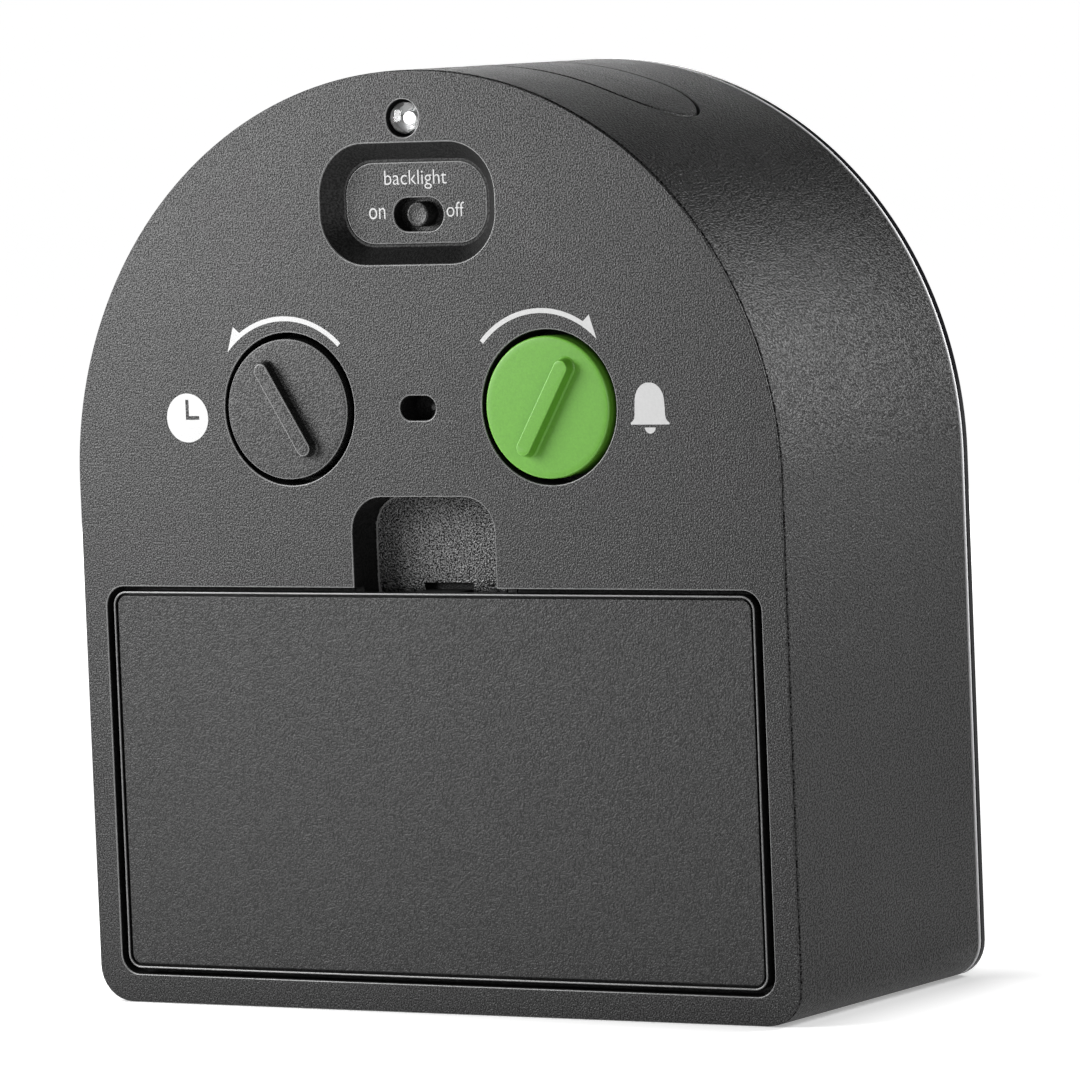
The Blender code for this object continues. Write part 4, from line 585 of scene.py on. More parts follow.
carry(WHITE, "movement_front_plate", "movement_middle_plate", "movement_rear_plate", "motion_wheel")
carry(WHITE, "hour_wheel", "alarm_wheel", "intermediate_wheel", "third_wheel", "snooze_plunger")
carry(BRASS, "minute_arbor", "centre_wheel")
carry(STEEL, "stator", "rotor", "second_wheel", "time_set_shaft", "alarm_set_shaft", "slide_switch_body")
carry(STEEL, "contact_bridge", "contact_positive", "contact_negative")
carry(STEEL, "contact_spring_upper", "contact_spring_lower")
for kind in ("board", "mount", "movement"):
    carry(STEEL, kind + "_screw_left", kind + "_screw_right")
carry(wound_copper(), "coil")
carry(board_coat(), "circuit_board")
carry(KNOB_BLACK, "buzzer", "snooze_switch")
carry(DOME, "backlight_lamp_left", "backlight_lamp_right")


# Rear cover


def slot_outline(inset):
    return stadium(SLOT, 4.3 * MM - 2 * inset, 2.55 * MM - 2 * inset)


def switch_outline(inset):
    return stadium(SWITCH, 6.0 * MM - 2 * inset, 3.45 * MM - 2 * inset)


def notch_floor():
    """The notch's floor, which bends inwards above the door, with the hole for the latch."""
    bend = DOOR_TOP + 1.1 * MM
    bend_end = 42.7 * MM
    side = NOTCH_HALF - 0.6 * MM
    small = NOTCH_CORNER - 0.6 * MM
    high = NOTCH_TOP - NOTCH_CORNER
    flat = [(side, bend)]
    flat += arc((side - small, high), small, 0, 90, CORNER_STEPS)
    flat += arc((small - side, high), small, 90, 180, CORNER_STEPS)
    flat += [(-side, bend)]
    parts = [fill([flat], NOTCH_FLOOR)]
    latch = 2.95 * MM
    for start, end, low in ((-side, -latch, 40.7), (-latch, latch, 44.05), (latch, side, 40.7)):
        rows = []
        for step in range(9):
            z = bend - (bend - bend_end) * step / 8
            if z > low * MM:
                rows.append((z, NOTCH_FLOOR - 1.2 * MM * (1 - math.sqrt(1 - (step / 8.2) ** 2))))
        rows.append((low * MM, rows[-1][1]))
        shape = bmesh.new()
        grid = [[shape.verts.new((x, y, z)) for x in (start, end)] for z, y in rows]
        for near, far in zip(grid, grid[1:]):
            shape.faces.new((near[0], near[1], far[1], far[0]))
        parts.append(to_mesh(shape))
    return parts


def thumb_notch():
    bead = ((0.0, -0.05), (-0.05, -0.1), (-0.09, -0.02), (-0.14, 0.04))
    bead += ((-0.2, 0.03), (-0.3, 0.0), (-0.6, 0.0))
    foot = [skin(levels(notch_outline, steps_from(NOTCH_FLOOR, bead)))]
    parts = foot + notch_floor()
    notch = piece("thumb_notch_floor", parts, "case", ERODED, facing=(0, 1, 0), extra=[EDGE_HIGHLIGHT])
    # The raised bead round the notch floor gets the paler edge material: a painted highlight along the rim
    for face in notch.data.polygons:
        if face.center.y > NOTCH_FLOOR + 0.005 * MM:
            face.material_index = 1


def is_outer(x, z):
    """True near the rim of the arch."""
    if z > ARCH_Z:
        return math.hypot(x, z - ARCH_Z) > RADIUS - 1 * MM
    return abs(x) > RADIUS - 1 * MM or z < 1 * MM


def rear_cover():
    near = RECESS_FLOOR
    sunk = near - 0.25 * MM
    groove = Y_BACK - 0.16 * MM
    outside = [(0.02 * MM + inset, y) for inset, y in edge(Y_BACK, 0.09 * MM)]
    outside += [(0.02 * MM, groove), (SPIGOT_OUT, groove), (SPIGOT_OUT, near)]
    slope = lip(Y_BACK, 0.13 * MM) + [(1.95 * MM, sunk)]
    hole = lip(Y_BACK, 0.12 * MM) + [(0, near)]
    loops = [(arch, outside), (notched_opening, hole), (recess_outline, slope)]
    loops += [(round_hole((side * KNOB_SPREAD, KNOB_Z), WELL_RADIUS), hole) for side in (1, -1)]
    loops += [(slot_outline, hole), (round_hole(SENSOR, SENSOR_HOLE, 40), hole)]
    parts = sheet(loops)
    # Spigot inside the sleeve
    end = near - 2.6 * MM
    parts += ring(arch, [(SPIGOT_OUT, near), (SPIGOT_OUT, end), (SPIGOT_IN, end), (SPIGOT_IN, near)])
    # Knob wells
    under = WELL_FLOOR - POCKET_WALL
    profile = [(WELL_RADIUS, near), (9.2 * MM, near), (9.2 * MM, under), (1.5 * MM, under)]
    profile += [(1.5 * MM, WELL_FLOOR), (WELL_RADIUS, WELL_FLOOR)]
    for side in (1, -1):
        parts += lathe_ring(profile, (side * KNOB_SPREAD, KNOB_Z))
    # Recess floor with the switch slot
    under = near - POCKET_WALL
    crest = [(2.0 * MM + inset, y) for inset, y in edge(near, 0.13 * MM)]
    crest += [(2.0 * MM, sunk), (0.2 * MM, sunk), (0.2 * MM, under)]
    parts += sheet([(recess_outline, crest), (switch_outline, lip(near, 0.12 * MM) + [(0, under)])])
    # Thumb notch
    under = NOTCH_FLOOR - POCKET_WALL
    parts.append(skin(levels(notch_outline, [(1.2 * MM, near), (1.2 * MM, under)])))
    parts.append(skin(levels(notch_outline, [(0.0, near), (0.0, NOTCH_FLOOR - 0.05 * MM)])))
    parts.append(fill([notch_outline(1.2 * MM)], under))
    thumb_notch()
    # Small slot with its post
    around = [(0.0, near), (-1.2 * MM, near), (-1.2 * MM, SLOT_FLOOR - 1.2 * MM)]
    parts.append(skin(levels(slot_outline, around)))
    parts += [skin(levels(slot_outline, [(0, near), (0, SLOT_FLOOR)])), fill([slot_outline(0)], SLOT_FLOOR)]
    post = steps_from(Y_BACK, ((0.3, -1.5), (0.45, -1.65))) + [(0.45 * MM, SLOT_FLOOR - 0.2 * MM)]
    parts += lathe(post, (-1.075 * MM, KNOB_Z), 20)
    # Sensor tube
    out = 2.6 * MM
    end = Y_BACK - 5.3 * MM
    parts += lathe_ring([(SENSOR_HOLE, near), (out, near), (out, end), (SENSOR_HOLE, end)], SENSOR, 40)
    cover = piece("rear_cover_moulding", parts, "case", CHARCOAL, ["rear_cover"], extra=[POCKET_SHADE, EDGE_HIGHLIGHT])
    # Rounded lips at the face, and the recess floor's crest, get the paler edge material, a painted
    # highlight; the rest of the recess floor stays charcoal; other faces sunk below the face get the pocket
    # material, painted shade; the outer rim stays charcoal
    for face in cover.data.polygons:
        middle = face.center
        rise = face.normal.y
        rounded_over = STEEP < rise < FLAT
        in_recess = abs(middle.z - RECESS[1]) < 6 * MM and abs(middle.x) < 10 * MM
        if is_outer(middle.x, middle.z):
            continue
        if rounded_over and middle.y > Y_BACK - 0.13 * MM:
            face.material_index = 2
        elif in_recess and abs(middle.y - near) < 0.13 * MM and rise > STEEP:
            face.material_index = 2 if rounded_over else 0
        elif middle.y < Y_BACK - 0.05 * MM:
            face.material_index = 1
    bay()


def bay():
    """Door ledge with the screw seats, and the battery bay behind it."""
    seat_x = 34.325 * MM
    seat_radius = 2.2 * MM
    half = 28.45 * MM
    low = DOOR_MIDDLE - 15.7 * MM
    high = DOOR_MIDDLE + 15.7 * MM

    def frame_outline(inset):
        side = WIDTH / 2 - 2.4 * MM - inset
        bottom = 2.4 * MM + inset
        top = DOOR_TOP + 1.4 * MM - inset
        dip = DOOR_TOP - NOTCH_CORNER
        gap = NOTCH_HALF + 0.05 * MM
        right = [(side, bottom), (side, top), (gap, top), (gap, dip)]
        return [(-side, bottom)] + right + [(-gap, dip), (-gap, top), (-side, top)]

    def bay_outline(inset):
        corner = max(0.6 * MM - inset, 0.1 * MM)
        return rounded((0, DOOR_MIDDLE), 2 * (half - inset), high - low - 2 * inset, corner, 4)

    through = [(0, LEDGE), (0, FRAME_REAR)]
    loops = [(frame_outline, through), (bay_outline, through)]
    for z in (DOOR_LOW + SCREW_INSET, DOOR_TOP - SCREW_INSET):
        loops += [(round_hole((side * seat_x, z), seat_radius, 32), through) for side in (1, -1)]
    parts = sheet(loops)
    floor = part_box("battery_cell_lower")[0][1] - 0.3 * MM
    under = floor - POCKET_WALL
    parts += [skin(levels(bay_outline, [(0.0, LEDGE), (0.0, floor)])), fill([bay_outline(0)], floor)]
    parts.append(skin(levels(bay_outline, [(-POCKET_WALL, FRAME_REAR), (-POCKET_WALL, under)])))
    parts.append(fill([bay_outline(-POCKET_WALL)], under))
    # Ribs that cradle the cells
    for x in (-14 * MM, 0, 14 * MM):
        for z in (low, DOOR_MIDDLE - 1.0 * MM, high - 2.0 * MM):
            parts += bar((x - 0.6 * MM, floor, z), (x + 0.6 * MM, floor + 3.2 * MM, z + 2.0 * MM), 0.2 * MM)
    # The whole bay in the pocket material: darker and duller than the face, painted shade
    piece("battery_bay", parts, "case", POCKET_SHADE)


rear_cover()


# Case sleeve with the opening for the button


def on_arch(x, y, inset):
    """A point on the arch's top, a distance below its surface."""
    radius = RADIUS - inset
    return (x, y, ARCH_Z + math.sqrt(radius * radius - x * x))


def case_sleeve():
    rear = Y_BACK - 0.46 * MM
    steps = [(0.0, SLEEVE_FRONT + 0.1 * MM)] + edge(rear, 0.2 * MM, 5)[::-1]
    steps += [(WALL, rear), (WALL, SLEEVE_FRONT), (0.1 * MM, SLEEVE_FRONT)]
    sleeve = piece("case_sleeve_moulding", ring(arch, steps), "case", SLEEVE, ["case_sleeve"])
    small = 0.14 * MM
    plan = stadium((0, BUTTON_Y), BUTTON_LENGTH + 2 * small, BUTTON_WIDTH + 2 * small, 40)
    ends = (ARCH_Z, HEIGHT + WALL)
    parts = [skin([[(x, y, z) for x, y in plan] for z in ends])]
    for z in ends:
        cap = fill([plan], 0)
        cap.transform(Matrix.Translation((0, 0, z)) @ Matrix.Rotation(-math.pi / 2, 4, "X"))
        parts.append(cap)
    tool = add_object("opening", to_mesh(joined(parts), "opening"))
    cut = sleeve.modifiers.new("opening", "BOOLEAN")
    cut.operation = "DIFFERENCE"
    cut.object = tool
    sleeve.modifiers.move(1, 0)
    graph = bpy.context.evaluated_depsgraph_get()
    sleeve.modifiers["normals"].show_viewport = False
    graph.update()
    mesh = bpy.data.meshes.new_from_object(sleeve.evaluated_get(graph))
    sleeve.modifiers.remove(sleeve.modifiers["opening"])
    sleeve.modifiers["normals"].show_viewport = True
    old = sleeve.data
    sleeve.data = mesh
    bpy.data.meshes.remove(old)
    bpy.data.objects.remove(tool)
    shade_edges(mesh)
    # A thin rolled rim round the opening in the paler edge material: a painted highlight along the opening
    rolls = [(small, 0.0), (0.5 * small, 0.03 * MM), (0.15 * small, 0.08 * MM)]
    rolls += [(0.0, 0.16 * MM), (0.0, WALL)]
    rim = []
    for grow, depth in rolls:
        plan = stadium((0, BUTTON_Y), BUTTON_LENGTH + 2 * grow, BUTTON_WIDTH + 2 * grow, 40, 40)
        rim.append([on_arch(x, y, depth) for x, y in plan])
    piece("button_opening_rim", [skin(rim)], "case", EDGE_HIGHLIGHT)


def snooze_button():
    length = BUTTON_LENGTH - 0.6 * MM
    width = BUTTON_WIDTH - 0.6 * MM

    def loop(inset, depth):
        plan = stadium((0, BUTTON_Y), length - 2 * inset, width - 2 * inset, 24, 40)
        return [on_arch(x, y, depth) for x, y in plan]

    loops = [loop(0, 3.2 * MM)]
    loops += [loop(inset, -down) for inset, down in reversed(edge(0.0, 0.2 * MM, 5))]
    loops += [loop(inset, 0) for inset in (1.2 * MM, 2.6 * MM, 4.2 * MM, 5.6 * MM, width / 2 - 0.01 * MM)]
    flange = ((0.0, 2.1), (-1.0, 2.1), (-1.0, 3.3), (0.0, 3.3))
    parts = [skin(loops), skin([loop(inset * MM, depth * MM) for inset, depth in flange])]
    stem = lathe([(1.4 * MM, 0), (1.4 * MM, 6.9 * MM), (1.25 * MM, 7.1 * MM)], (0, 0), 24)
    foot = Matrix.Translation((0, BUTTON_Y + 3.4 * MM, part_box("snooze_plunger")[1][2] + 0.3 * MM))
    for part in stem:
        part.transform(foot @ Matrix.Rotation(math.pi / 2, 4, "X"))
    piece("snooze_pill", parts + stem, "snooze", SLEEVE, ["snooze_button"])


case_sleeve()
snooze_button()


# Battery door


def battery_door():
    inside = Y_BACK - 1.8 * MM
    gap = 0.4 * MM
    # From the edge: a raised ridge, a groove and the panel
    rise = ((0.0, -0.12), (0.03, -0.05), (0.1, -0.02), (0.17, -0.05), (0.2, -0.12), (0.21, -0.6))
    rise += ((0.45, -0.6), (0.46, -0.22), (0.49, -0.17), (0.57, -0.14))
    parts = cup(door_outline, [(gap, inside)] + steps_from(Y_BACK, rise, gap))
    # Latch tongue at the top and two hooks below
    root = inside + 0.2 * MM
    top = DOOR_TOP - gap
    parts += bar((-2.65 * MM, inside - 3.6 * MM, top - 2.4 * MM), (2.65 * MM, root, top), 0.3 * MM)
    front = LEDGE - 1.4 * MM
    toe = front - 0.15 * MM
    low = DOOR_LOW + 2 * gap
    for side in (1, -1):
        left = side * 20 * MM - 3 * MM
        right = side * 20 * MM + 3 * MM
        parts += bar((left, front, low), (right, root, low + 1.0 * MM), 0.15 * MM)
        parts += bar((left, toe, DOOR_LOW - 0.6 * MM), (right, front + 1.1 * MM, low + 0.5 * MM), 0.15 * MM)
    door = piece("battery_door_panel", parts, "door", CHARCOAL_DOOR, ["battery_door"], extra=[POCKET_SHADE, EDGE_HIGHLIGHT])
    # Faces below the panel (groove floor, sides, tongue and hooks) get the pocket material, painted shade;
    # the rounded ridge edges at the face get the paler edge material, a painted highlight
    for face in door.data.polygons:
        if face.center.y < Y_BACK - 0.25 * MM:
            face.material_index = 1
        elif STEEP < face.normal.y < FLAT and face.center.y > Y_BACK - 0.13 * MM:
            face.material_index = 2


battery_door()


# Knobs


def grip(axis, lean):
    """The raised bar across a knob, with a soft foot and crisp top edges."""
    steps = steps_from(KNOB_FACE, ((-0.25, -0.2), (-0.25, 0.0), (-0.08, 0.12), (0.0, 0.35)))
    steps += [(0.08 * MM + inset, y) for inset, y in reversed(edge(KNOB_FACE + GRIP_HEIGHT, 0.14 * MM))]

    def outline(inset):
        lying = stadium(axis, GRIP_LENGTH - 2 * inset, GRIP_WIDTH - 2 * inset, 12)
        return turned(lying, axis, 90 - lean)

    return cup(outline, steps)


def knob(name, node, side, lean, body, material, bright, soft):
    axis = (side * KNOB_SPREAD, KNOB_Z)
    rear = KNOB_FACE - 3.4 * MM
    profile = [(0.5 * MM, KNOB_FACE), (KNOB_RADIUS - 0.75 * MM, KNOB_FACE)]
    profile += [(KNOB_RADIUS - inset, y) for inset, y in edge(KNOB_FACE, soft, 5)]
    profile += [(KNOB_RADIUS, rear)]
    profile += steps_from(rear, ((2.6, 0.0), (2.6, -1.6), (1.45, -1.6), (1.45, 1.1), (0.5, 1.1)))
    parts = lathe(profile, axis, 96) + grip(axis, lean)
    made = piece(name, parts, body, material, [node], extra=[bright])
    # Faces on the grip's rounded top edge and on the knob's rounded rim get the paler edge material: a
    # painted highlight
    for face in made.data.polygons:
        top = face.center.y - KNOB_FACE
        if 2 * STEEP < face.normal.y < FLAT and (top > 1.0 * MM or -0.15 * MM < top < -0.001 * MM):
            face.material_index = 1


knob("time_knob_cap", "time_knob", 1, 31.0, "time_setting", KNOB_BLACK, EDGE_HIGHLIGHT, 0.16 * MM)
knob("alarm_knob_cap", "alarm_knob", -1, -30.0, "alarm_setting", GREEN, GREEN_EDGE_HIGHLIGHT, 0.3 * MM)


# Slider, sensor


def switch_slider():
    top = RECESS_FLOOR + 0.2 * MM
    flange = Y_BACK - 3.7 * MM
    low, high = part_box("switch_slider")
    profile = steps_from(top, ((0.4, -0.12), (0.85, -0.06), (1.05, 0.0), (1.2, -0.05), (1.3, -0.2)))
    profile += steps_from(flange, ((1.3, -0.2), (0.4, -0.2)))
    parts = lathe(profile, SWITCH, 48)
    parts += bar((low[0], flange - 1.0 * MM, low[2]), (high[0], flange, high[2]), 0.15 * MM)
    side = 1.3 * MM
    half = 0.65 * MM
    z = SWITCH[1]
    parts += bar((-side, low[1], z - half), (side, flange - 0.5 * MM, z + half), 0.1 * MM)
    piece("switch_slider_cap", parts, "light_switch", KNOB_BLACK, ["switch_slider"])


def light_sensor():
    tip = Y_BACK + 0.3 * MM
    seat = Y_BACK - 5.0 * MM
    radius = 1.6 * MM
    profile = [(0.05 * MM, tip)]
    for step in range(1, 10):
        angle = math.pi / 2 * step / 9
        profile.append((radius * math.sin(angle), tip - 0.8 * MM * (1 - math.cos(angle))))
    profile += [(radius, seat + 1.0 * MM)] + steps_from(seat, ((1.8, 1.0), (1.8, 0.0), (0.05, 0.0)))
    piece("light_sensor_dome", lathe(profile, SENSOR, 40), "case", DOME, ["light_sensor"])
    # Lead frame seen through the dome: a cupped post, a slim post and their legs
    x, z = SENSOR
    thin = 0.2 * MM
    parts = lathe(steps_from(tip, ((0.55, -1.2), (0.62, -1.25), (0.42, -3.2))), (x - 0.4 * MM, z), 20)
    slim = x + 0.65 * MM
    parts += bar((slim - thin, tip - 3.6 * MM, z - thin), (slim + thin, tip - 1.6 * MM, z + thin), 0.1 * MM)
    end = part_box("light_sensor")[0][1]
    for leg in (0.7 * MM, -0.7 * MM):
        parts += bar((leg - thin, end, z - thin), (leg + thin, seat - 0.02 * MM, z + thin), 0.08 * MM)
    piece("light_sensor_leads", parts, "case", STEEL)
    silvered = ((1.3, -1.5), (1.42, -1.5), (1.42, -2.2), (0.1, -2.2), (0.1, -1.8), (1.0, -1.75))
    piece("light_sensor_cup", lathe_ring(steps_from(tip, silvered), SENSOR, 32), "case", SILVERED)


switch_slider()
light_sensor()


# Front: bezel, trim, window, dial ring and dial


def depths(node):
    """A CAD node's front and rear levels."""
    low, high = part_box(node)
    return low[1], high[1]


def front():
    rear = Y_FRONT + 0.8 * MM
    steps = [(5.0 * MM, rear)] + steps_from(Y_FRONT, ((5.0, 0.3), (4.8, 0.08), (4.5, 0.0)))
    steps += [(inset, Y_FRONT - (y - Y_FRONT)) for inset, y in edge(Y_FRONT, 0.1 * MM)]
    steps += steps_from(rear, ((0.0, -0.05), (0.05, 0.0)))
    end = rear + 4.0 * MM
    steps += [(SPIGOT_OUT, rear), (SPIGOT_OUT, end), (SPIGOT_IN, end), (SPIGOT_IN, rear)]
    piece("front_bezel_moulding", ring(arch, steps), "case", GLOSS, ["front_bezel"])
    low, high = depths("trim_ring")
    low += 0.07 * MM
    high -= 0.07 * MM
    small = 0.05 * MM
    steps = [(small, low), (0, low + small), (0, high - small), (small, high)]
    steps += [(1.6 * MM, high), (1.6 * MM, low)]
    piece("trim_ring_bright", ring(arch, steps), "case", TRIM, ["trim_ring"])
    low, high = depths("lens")
    inset = 3.45 * MM
    steps = [(inset + 0.15 * MM, low), (inset, low + 0.15 * MM), (inset, high)]
    piece("lens_window", cup(arch, steps), "case", CLEAR, ["lens"])
    low, high = depths("dial_ring")
    steps = [(inset, low), (inset, high), (inset + 2.6 * MM, high)]
    steps += steps_from(low, ((1.5, 0.1), (1.3, 0.0)), inset)
    piece("dial_ring_slope", ring(arch, steps), "case", DIAL, ["dial_ring"])
    low, high = depths("dial")
    hole = (round_hole(CENTRE, 2.7 * MM, 32), [(0, high), (0, low)])
    dial = sheet([(arch, [(SPIGOT_OUT, high), (SPIGOT_OUT, low)]), hole])
    piece("dial_plate", dial, "case", DIAL, ["dial"])
    dial_print(low)


def text_mesh(words, size):
    """Lettering as a thin flat mesh in the X-Z plane, centred, reading from the front."""
    curve = bpy.data.curves.new("words", "FONT")
    curve.body = words
    curve.size = size
    curve.offset = -size * 0.008
    curve.align_x = curve.align_y = "CENTER"
    curve.resolution_u = 6
    mesh = from_curve(curve)
    mesh.transform(Matrix.Rotation(math.pi / 2, 4, "X"))
    return mesh


def thicken(mesh, depth):
    """A flat mesh given a thickness along Y."""
    shape = bmesh.new()
    shape.from_mesh(mesh)
    bmesh.ops.remove_doubles(shape, verts=shape.verts, dist=WELD / 2)
    made = bmesh.ops.extrude_face_region(shape, geom=shape.faces[:])
    moved = [item for item in made["geom"] if isinstance(item, bmesh.types.BMVert)]
    bmesh.ops.translate(shape, verts=moved, vec=(0, depth, 0))
    shape.to_mesh(mesh)
    shape.free()
    return mesh


def fitted(mesh, low, high, y):
    """Scales a flat mesh to a box of corners that is seen from the back, where it reads."""
    xs = [vertex.co.x for vertex in mesh.vertices]
    zs = [vertex.co.z for vertex in mesh.vertices]
    across = (high[0] - low[0]) / (max(xs) - min(xs))
    up = (high[1] - low[1]) / (max(zs) - min(zs))
    for vertex in mesh.vertices:
        x = low[0] + (vertex.co.x - min(xs)) * across
        z = low[1] + (vertex.co.z - min(zs)) * up
        vertex.co = (-x, y, z)
    return mesh


def dial_print(level):
    """Plain numbers, minute marks and a small centre ring on the dial."""
    parts = []
    for number in range(1, 13):
        x, z = polar(CENTRE, 24.5 * MM, 90 - 30 * number)
        mesh = text_mesh(str(number), 8.2 * MM)
        mesh.transform(Matrix.Translation((x, level, z)))
        parts.append(thicken(mesh, -DIAL_PRINT_DEPTH))
    for minute in range(60):
        angle = 90 - 6 * minute
        long = minute % 5 == 0
        width = (1.1 if long else 0.4) * MM
        tall = (2.6 if long else 1.6) * MM
        x, z = polar(CENTRE, 33.0 * MM - tall / 2, angle)
        mark = turned(rounded((x, z), width, tall, width / 4, 3), (x, z), angle - 90)
        parts.append(thicken(fill([mark], level), -DIAL_PRINT_DEPTH))
    thin_ring = fill([circle(CENTRE, 14.2 * MM), circle(CENTRE, 13.9 * MM)], level)
    parts.append(thicken(thin_ring, -DIAL_PRINT_DEPTH))
    piece("dial_print", parts, "case", INK, weighted=False)


front()


# Hands


def hands():
    """Each hand with its boss and a soft front edge; the second hand has a tail."""
    # Node, body, length, width and boss in millimetres, degrees from twelve, material, bore
    shapes = (
        ("minute_hand", "minute", 29.0, 2.6, 1.9, 57.5, INK, 0.775),
        ("hour_hand", "hour", 20.0, 3.2, 2.6, 304.79, INK, 1.3),
        ("alarm_hand", "alarm", 16.0, 1.6, 3.2, 195.0, GREEN, 1.95),
        ("second_hand", "seconds", 31.0, 0.7, 1.3, 210.0, GREEN, 0.0),
    )
    soft = 0.08 * MM
    for name, body, length, width, boss, degrees, material, bore in shapes:
        front_y, rear_y = depths(name)
        half = width / 2 * MM
        tip = ARCH_Z + length * MM
        tail = ARCH_Z - 8 * MM
        hub = boss * MM
        lift = math.degrees(math.asin(half / hub))

        def outline(inset):
            points = [(half / 2 - inset / 2, tip - inset), (inset / 2 - half / 2, tip - inset)]
            if name == "second_hand":
                points += arc(CENTRE, hub - inset, 90 + lift, 270 - lift, 10)
                points += [(inset - half, tail + inset), (half - inset, tail + inset)]
                points += arc(CENTRE, hub - inset, 270 + lift, 450 - lift, 10)
            else:
                points += arc(CENTRE, hub - inset, 90 + lift, 450 - lift, 32)
            return turned(points, CENTRE, -degrees)

        loops = [(outline, [(0, rear_y), (0, front_y + soft), (soft, front_y)])]
        if bore:
            loops.append((round_hole(CENTRE, bore * MM, 32), [(0, rear_y), (0, front_y)]))
        piece(name + "_blade", sheet(loops), body, material, [name], weighted=False)


hands()


# Signs printed on the back


def back(points):
    """Points read from behind, with u to the right, turned into (x, z)."""
    return [(-u, z) for u, z in points]


def arrow(centre, tail, base, tip):
    """A curved arrow whose head has a barb on its outer side only."""
    radius = 9.45 * MM
    thin = 0.25 * MM
    steps = 24
    points = arc(centre, radius + thin, tail, base, steps)
    points += [polar(centre, radius + 1.2 * MM, base + (tip - base) * 0.1), polar(centre, radius - thin, tip)]
    points += arc(centre, radius - thin, base + (tip - base) * 0.8, tail, steps)
    return points


def back_print():
    left = (-KNOB_SPREAD - 0.3 * MM, KNOB_Z - 0.12 * MM)
    right = (KNOB_SPREAD - 0.6 * MM, KNOB_Z + 0.35 * MM)
    flat = [[arrow(left, 45, 124, 139)], [arrow(right, 138, 59, 45)]]
    # Clock sign: a disc with its two hands left open
    cu = -28.1 * MM
    cz = 61.45 * MM
    ell = ((-0.2, -0.2), (1.45, -0.2), (1.45, 0.2), (0.2, 0.2), (0.2, 1.9), (-0.2, 1.9))
    flat.append([circle((cu, cz), 2.55 * MM, 48), steps_from(cz, ell, cu)])
    # Bell sign with its clapper
    bu = 27.3 * MM
    half = [(1.7 * math.sin(t * math.pi / 16), 62.85 + 1.9 * math.cos(t * math.pi / 16)) for t in range(1, 9)]
    half += [(1.74, 62.2), (1.76, 61.5), (1.83, 61.1), (2.0, 60.85), (2.2, 60.72), (2.26, 60.6), (2.2, 60.5)]
    bell = [(bu + u * MM, z * MM) for u, z in half]
    bell += [(bu - u * MM, z * MM) for u, z in reversed(half)]
    flat += [[bell], [arc((bu, 60.2 * MM), 0.62 * MM, 180, 360, 12)]]
    parts = []
    for outlines in flat:
        parts.append(thicken(fill([back(outline) for outline in outlines], Y_BACK), PRINT_DEPTH))
    words = (
        ("backlight", (-4.1, 84.6), (3.35, 86.55)),
        ("on", (-6.1, 81.6), (-4.15, 82.75)),
        ("off", (3.2, 81.7), (5.3, 83.2)),
    )
    for word, low, high in words:
        corners = [[value * MM for value in corner] for corner in (low, high)]
        parts.append(thicken(fitted(text_mesh(word, 2 * MM), *corners, RECESS_FLOOR), PRINT_DEPTH))
    piece("back_signs", parts, "case", INK, weighted=False)


back_print()


# Battery cells, seen when the door is open


def battery_cell(name, facing):
    """A turned cell lying along X: recessed flat end, rolled rims, sleeve and nub."""
    node = "battery_cell_" + name
    low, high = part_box(node)
    long = high[0] - low[0]
    radius = (high[2] - low[2]) / 2
    top = long - 1.4 * MM
    nub = 2.6 * MM
    profile = [(0.05 * MM, 0.25 * MM)]
    profile += steps_from(0.0, ((-2.6, 0.25), (-2.2, 0.02), (-0.9, 0.02), (-0.3, 0.2), (0.0, 0.55)), radius)
    profile += steps_from(top, ((0.0, -0.6), (-0.2, -0.25), (-0.7, 0.0), (-1.5, -0.15)), radius)
    profile += steps_from(top, ((0.5, -0.15), (0.0, 0.1)), nub)
    profile += steps_from(long, ((0.0, -0.2), (-0.2, -0.02)), nub)
    profile += [(0.05 * MM, long - 0.02 * MM)]
    start = low[0] if facing > 0 else high[0]
    seat = Matrix.Translation((start, (low[1] + high[1]) / 2, (low[2] + high[2]) / 2))
    parts = lathe(profile, (0, 0))
    for part in parts:
        part.transform(seat @ Matrix.Rotation(-facing * math.pi / 2, 4, "Z"))
    piece(node + "_turned", parts, "case", cell_sleeve("cell_sleeve_" + name, facing), [node])


battery_cell("lower", 1)
battery_cell("upper", -1)


# Cover screws, seen when the door is open, with the cross slot painted as shade


def cover_screws():
    for index in range(1, 5):
        name = f"cover_screw_{index}"
        low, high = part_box(name)
        axis = ((low[0] + high[0]) / 2, DOOR_LOW + SCREW_INSET if index < 3 else DOOR_TOP - SCREW_INSET)
        head = high[1]
        seat = head - 1.0 * MM
        profile = steps_from(head, ((0.05, -0.05), (1.0, -0.02), (1.6, -0.18), (1.82, -0.5)))
        profile += steps_from(seat, ((1.9, 0.1), (1.85, 0.0), (0.95, 0.0)))
        for turn in range(11):
            thread = seat - 0.8 * MM - turn * 0.7 * MM
            profile += steps_from(thread, ((0.78, 0.0), (0.95, -0.25), (0.95, -0.4)))
        profile += [(0.3 * MM, low[1])]
        piece(name + "_turned", lathe(profile, axis, 32), "case", STEEL, [name])
        # The cross slot is not cut: a thin black sheet laid on the head is painted shade
        cross = []
        for turn in (20, 110):
            outline = turned(rounded(axis, 2.1 * MM, 0.5 * MM, 0.1 * MM, 2), axis, turn)
            cross.append(thicken(fill([outline], head + 0.001 * MM), 0.004 * MM))
        piece(name + "_cross", cross, "case", KNOB_BLACK, weighted=False)


cover_screws()


# Stage, light and camera


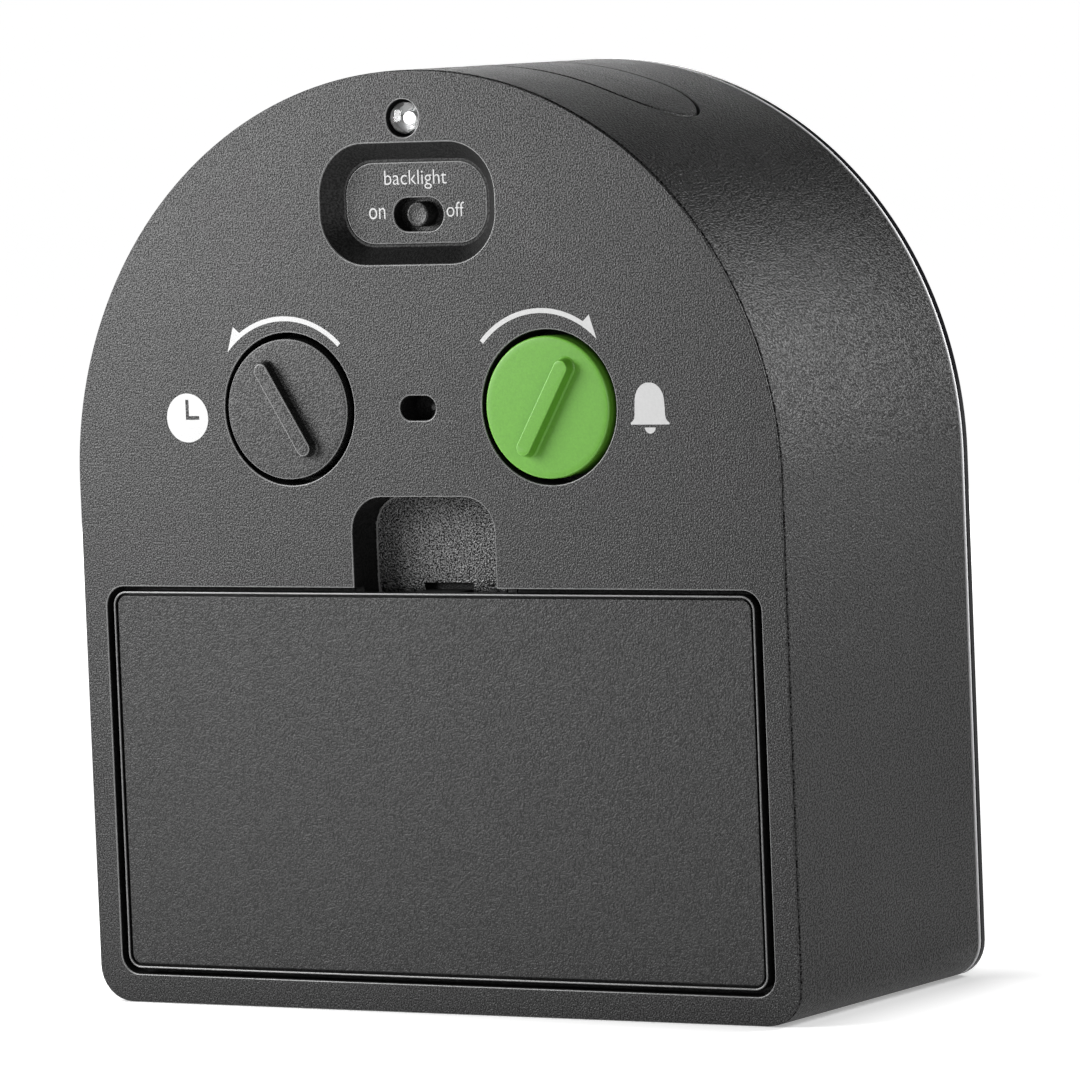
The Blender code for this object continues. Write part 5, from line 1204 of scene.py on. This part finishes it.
def sweep_material():
    """White to the camera and in reflections, with the glow dimmed beside the foot as a painted shadow, and a
    plain pale surface that keeps the real shadow.
    """
    made = Nodes("sweep_white_painted_shadow")
    made.tree.nodes.remove(made.shader)
    path = made.add("ShaderNodeLightPath").outputs
    seen = made.combine("MAXIMUM", path["Is Camera Ray"], path["Is Glossy Ray"])
    seen = made.combine("MAXIMUM", seen, path["Is Transmission Ray"])
    # Less glow beside the object's foot: a painted contact shadow, on top of the real shadow the lamps cast
    # on the pale floor
    foot = (WIDTH / 2, (Y_BACK - Y_FRONT) / 2, 0)
    beyond = made.vector("SUBTRACT", made.vector("ABSOLUTE", made.place), foot)
    reach = made.vector("LENGTH", made.vector("MAXIMUM", beyond))
    near = made.span(reach, GLOW_IN_PAINTED_SHADOW, GLOW_FAR, 0.0, PAINTED_SHADOW_REACH)
    glow = made.add("ShaderNodeEmission", Color=(1, 1, 1, 1))
    made.link(made.combine("MULTIPLY", seen, near), glow.inputs["Strength"])
    diffuse = made.add("ShaderNodeBsdfDiffuse", Color=(0.8, 0.8, 0.8, 1))
    both = made.add("ShaderNodeAddShader")
    made.link(diffuse.outputs[0], both.inputs[0])
    made.link(glow.outputs[0], both.inputs[1])
    made.link(both.outputs[0], made.tree.nodes["Material Output"].inputs["Surface"])
    return made.material


def stage():
    """A round white floor that sweeps up into a low wall, in a dim plain room."""
    flat = 2.5
    bend = 0.3
    profile = [(flat, 0.0)]
    for step in range(1, 9):
        angle = math.pi / 2 * step / 8
        profile.append((flat + bend * math.sin(angle), bend * (1 - math.cos(angle))))
    profile.append((flat + bend, 0.34))
    count = 96
    points = [(0, 0, 0)]
    for reach, height in profile:
        for step in range(count):
            x, y = polar((0, 0), reach, 360 * step / count)
            points.append((x, y, height))
    faces = [(0, 1 + step, 1 + (step + 1) % count) for step in range(count)]
    for row in range(len(profile) - 1):
        for step in range(count):
            after = (step + 1) % count
            base = 1 + row * count
            faces.append((base + step, base + count + step, base + count + after, base + after))
    mesh = bpy.data.meshes.new("sweep")
    mesh.from_pydata(points, [], faces)
    mesh.shade_smooth()
    sweep = add_object("sweep", mesh)
    sweep.location = (0, 0, -0.00005)
    mesh.materials.append(sweep_material())

    world = bpy.context.scene.world or bpy.data.worlds.new("room")
    bpy.context.scene.world = world
    world.use_nodes = True
    tree = world.node_tree
    tree.nodes.clear()
    out = tree.nodes.new("ShaderNodeOutputWorld")
    surround = tree.nodes.new("ShaderNodeBackground")
    surround.inputs["Color"].default_value = (1, 1, 1, 1)
    surround.inputs["Strength"].default_value = ROOM
    tree.links.new(surround.outputs[0], out.inputs["Surface"])


def area(name, place, target, size, power, spread=180):
    light = bpy.data.lights.new(name, "AREA")
    light.shape = "RECTANGLE"
    light.size, light.size_y = size
    light.energy = power
    light.spread = math.radians(spread)
    lamp = add_object(name, light)
    lamp.location = place
    lamp.visible_camera = False
    lamp.rotation_euler = (Vector(target) - Vector(place)).to_track_quat("-Z", "Y").to_euler()


def lights():
    """The lamps; +x is the photograph's left."""
    middle = (0, 0, 0.055)
    area("key", (0.12, 0.12, 0.11), middle, (0.11, 0.11), 0.48)
    area("strip", (-0.115, -0.06, 0.11), (-0.038, 0.0, 0.078), (0.045, 0.06), 0.06, 100)
    area("fill", (0.38, -0.62, 0.16), middle, (0.5, 0.3), 1.9)
    area("side", (-0.2, 0.2, 0.1), middle, (0.14, 0.14), 0.22)


def camera():
    """The photograph's view, turned about the vertical, the level and the line of sight."""
    lens = bpy.data.cameras.new("camera")
    lens.sensor_width = FILM_WIDTH
    lens.lens = FOCAL_PIXELS / FRAME_PIXELS * FILM_WIDTH
    lens.clip_start = 0.01
    lens.clip_end = 20
    eye = add_object("camera", lens)
    view = Matrix.Rotation(VIEW_ROLL, 3, "Z") @ Matrix.Rotation(VIEW_TILT, 3, "X")
    view = view @ Matrix.Rotation(VIEW_TURN, 3, "Y")
    place = -(view.transposed() @ (Vector(VIEW_SHIFT) * WIDTH))

    def to_world(v):
        return Vector((-v[0], -v[2], -v[1]))

    right = to_world(view[0])
    up = -to_world(view[1])
    away = -to_world(view[2])
    matrix = Matrix((right, up, away)).transposed().to_4x4()
    matrix.translation = Vector((0, Y_BACK, 0)) + to_world(place)
    eye.matrix_world = matrix
    bpy.context.scene.camera = eye


stage()
lights()
camera()
bpy.context.scene.view_settings.view_transform = "Standard"
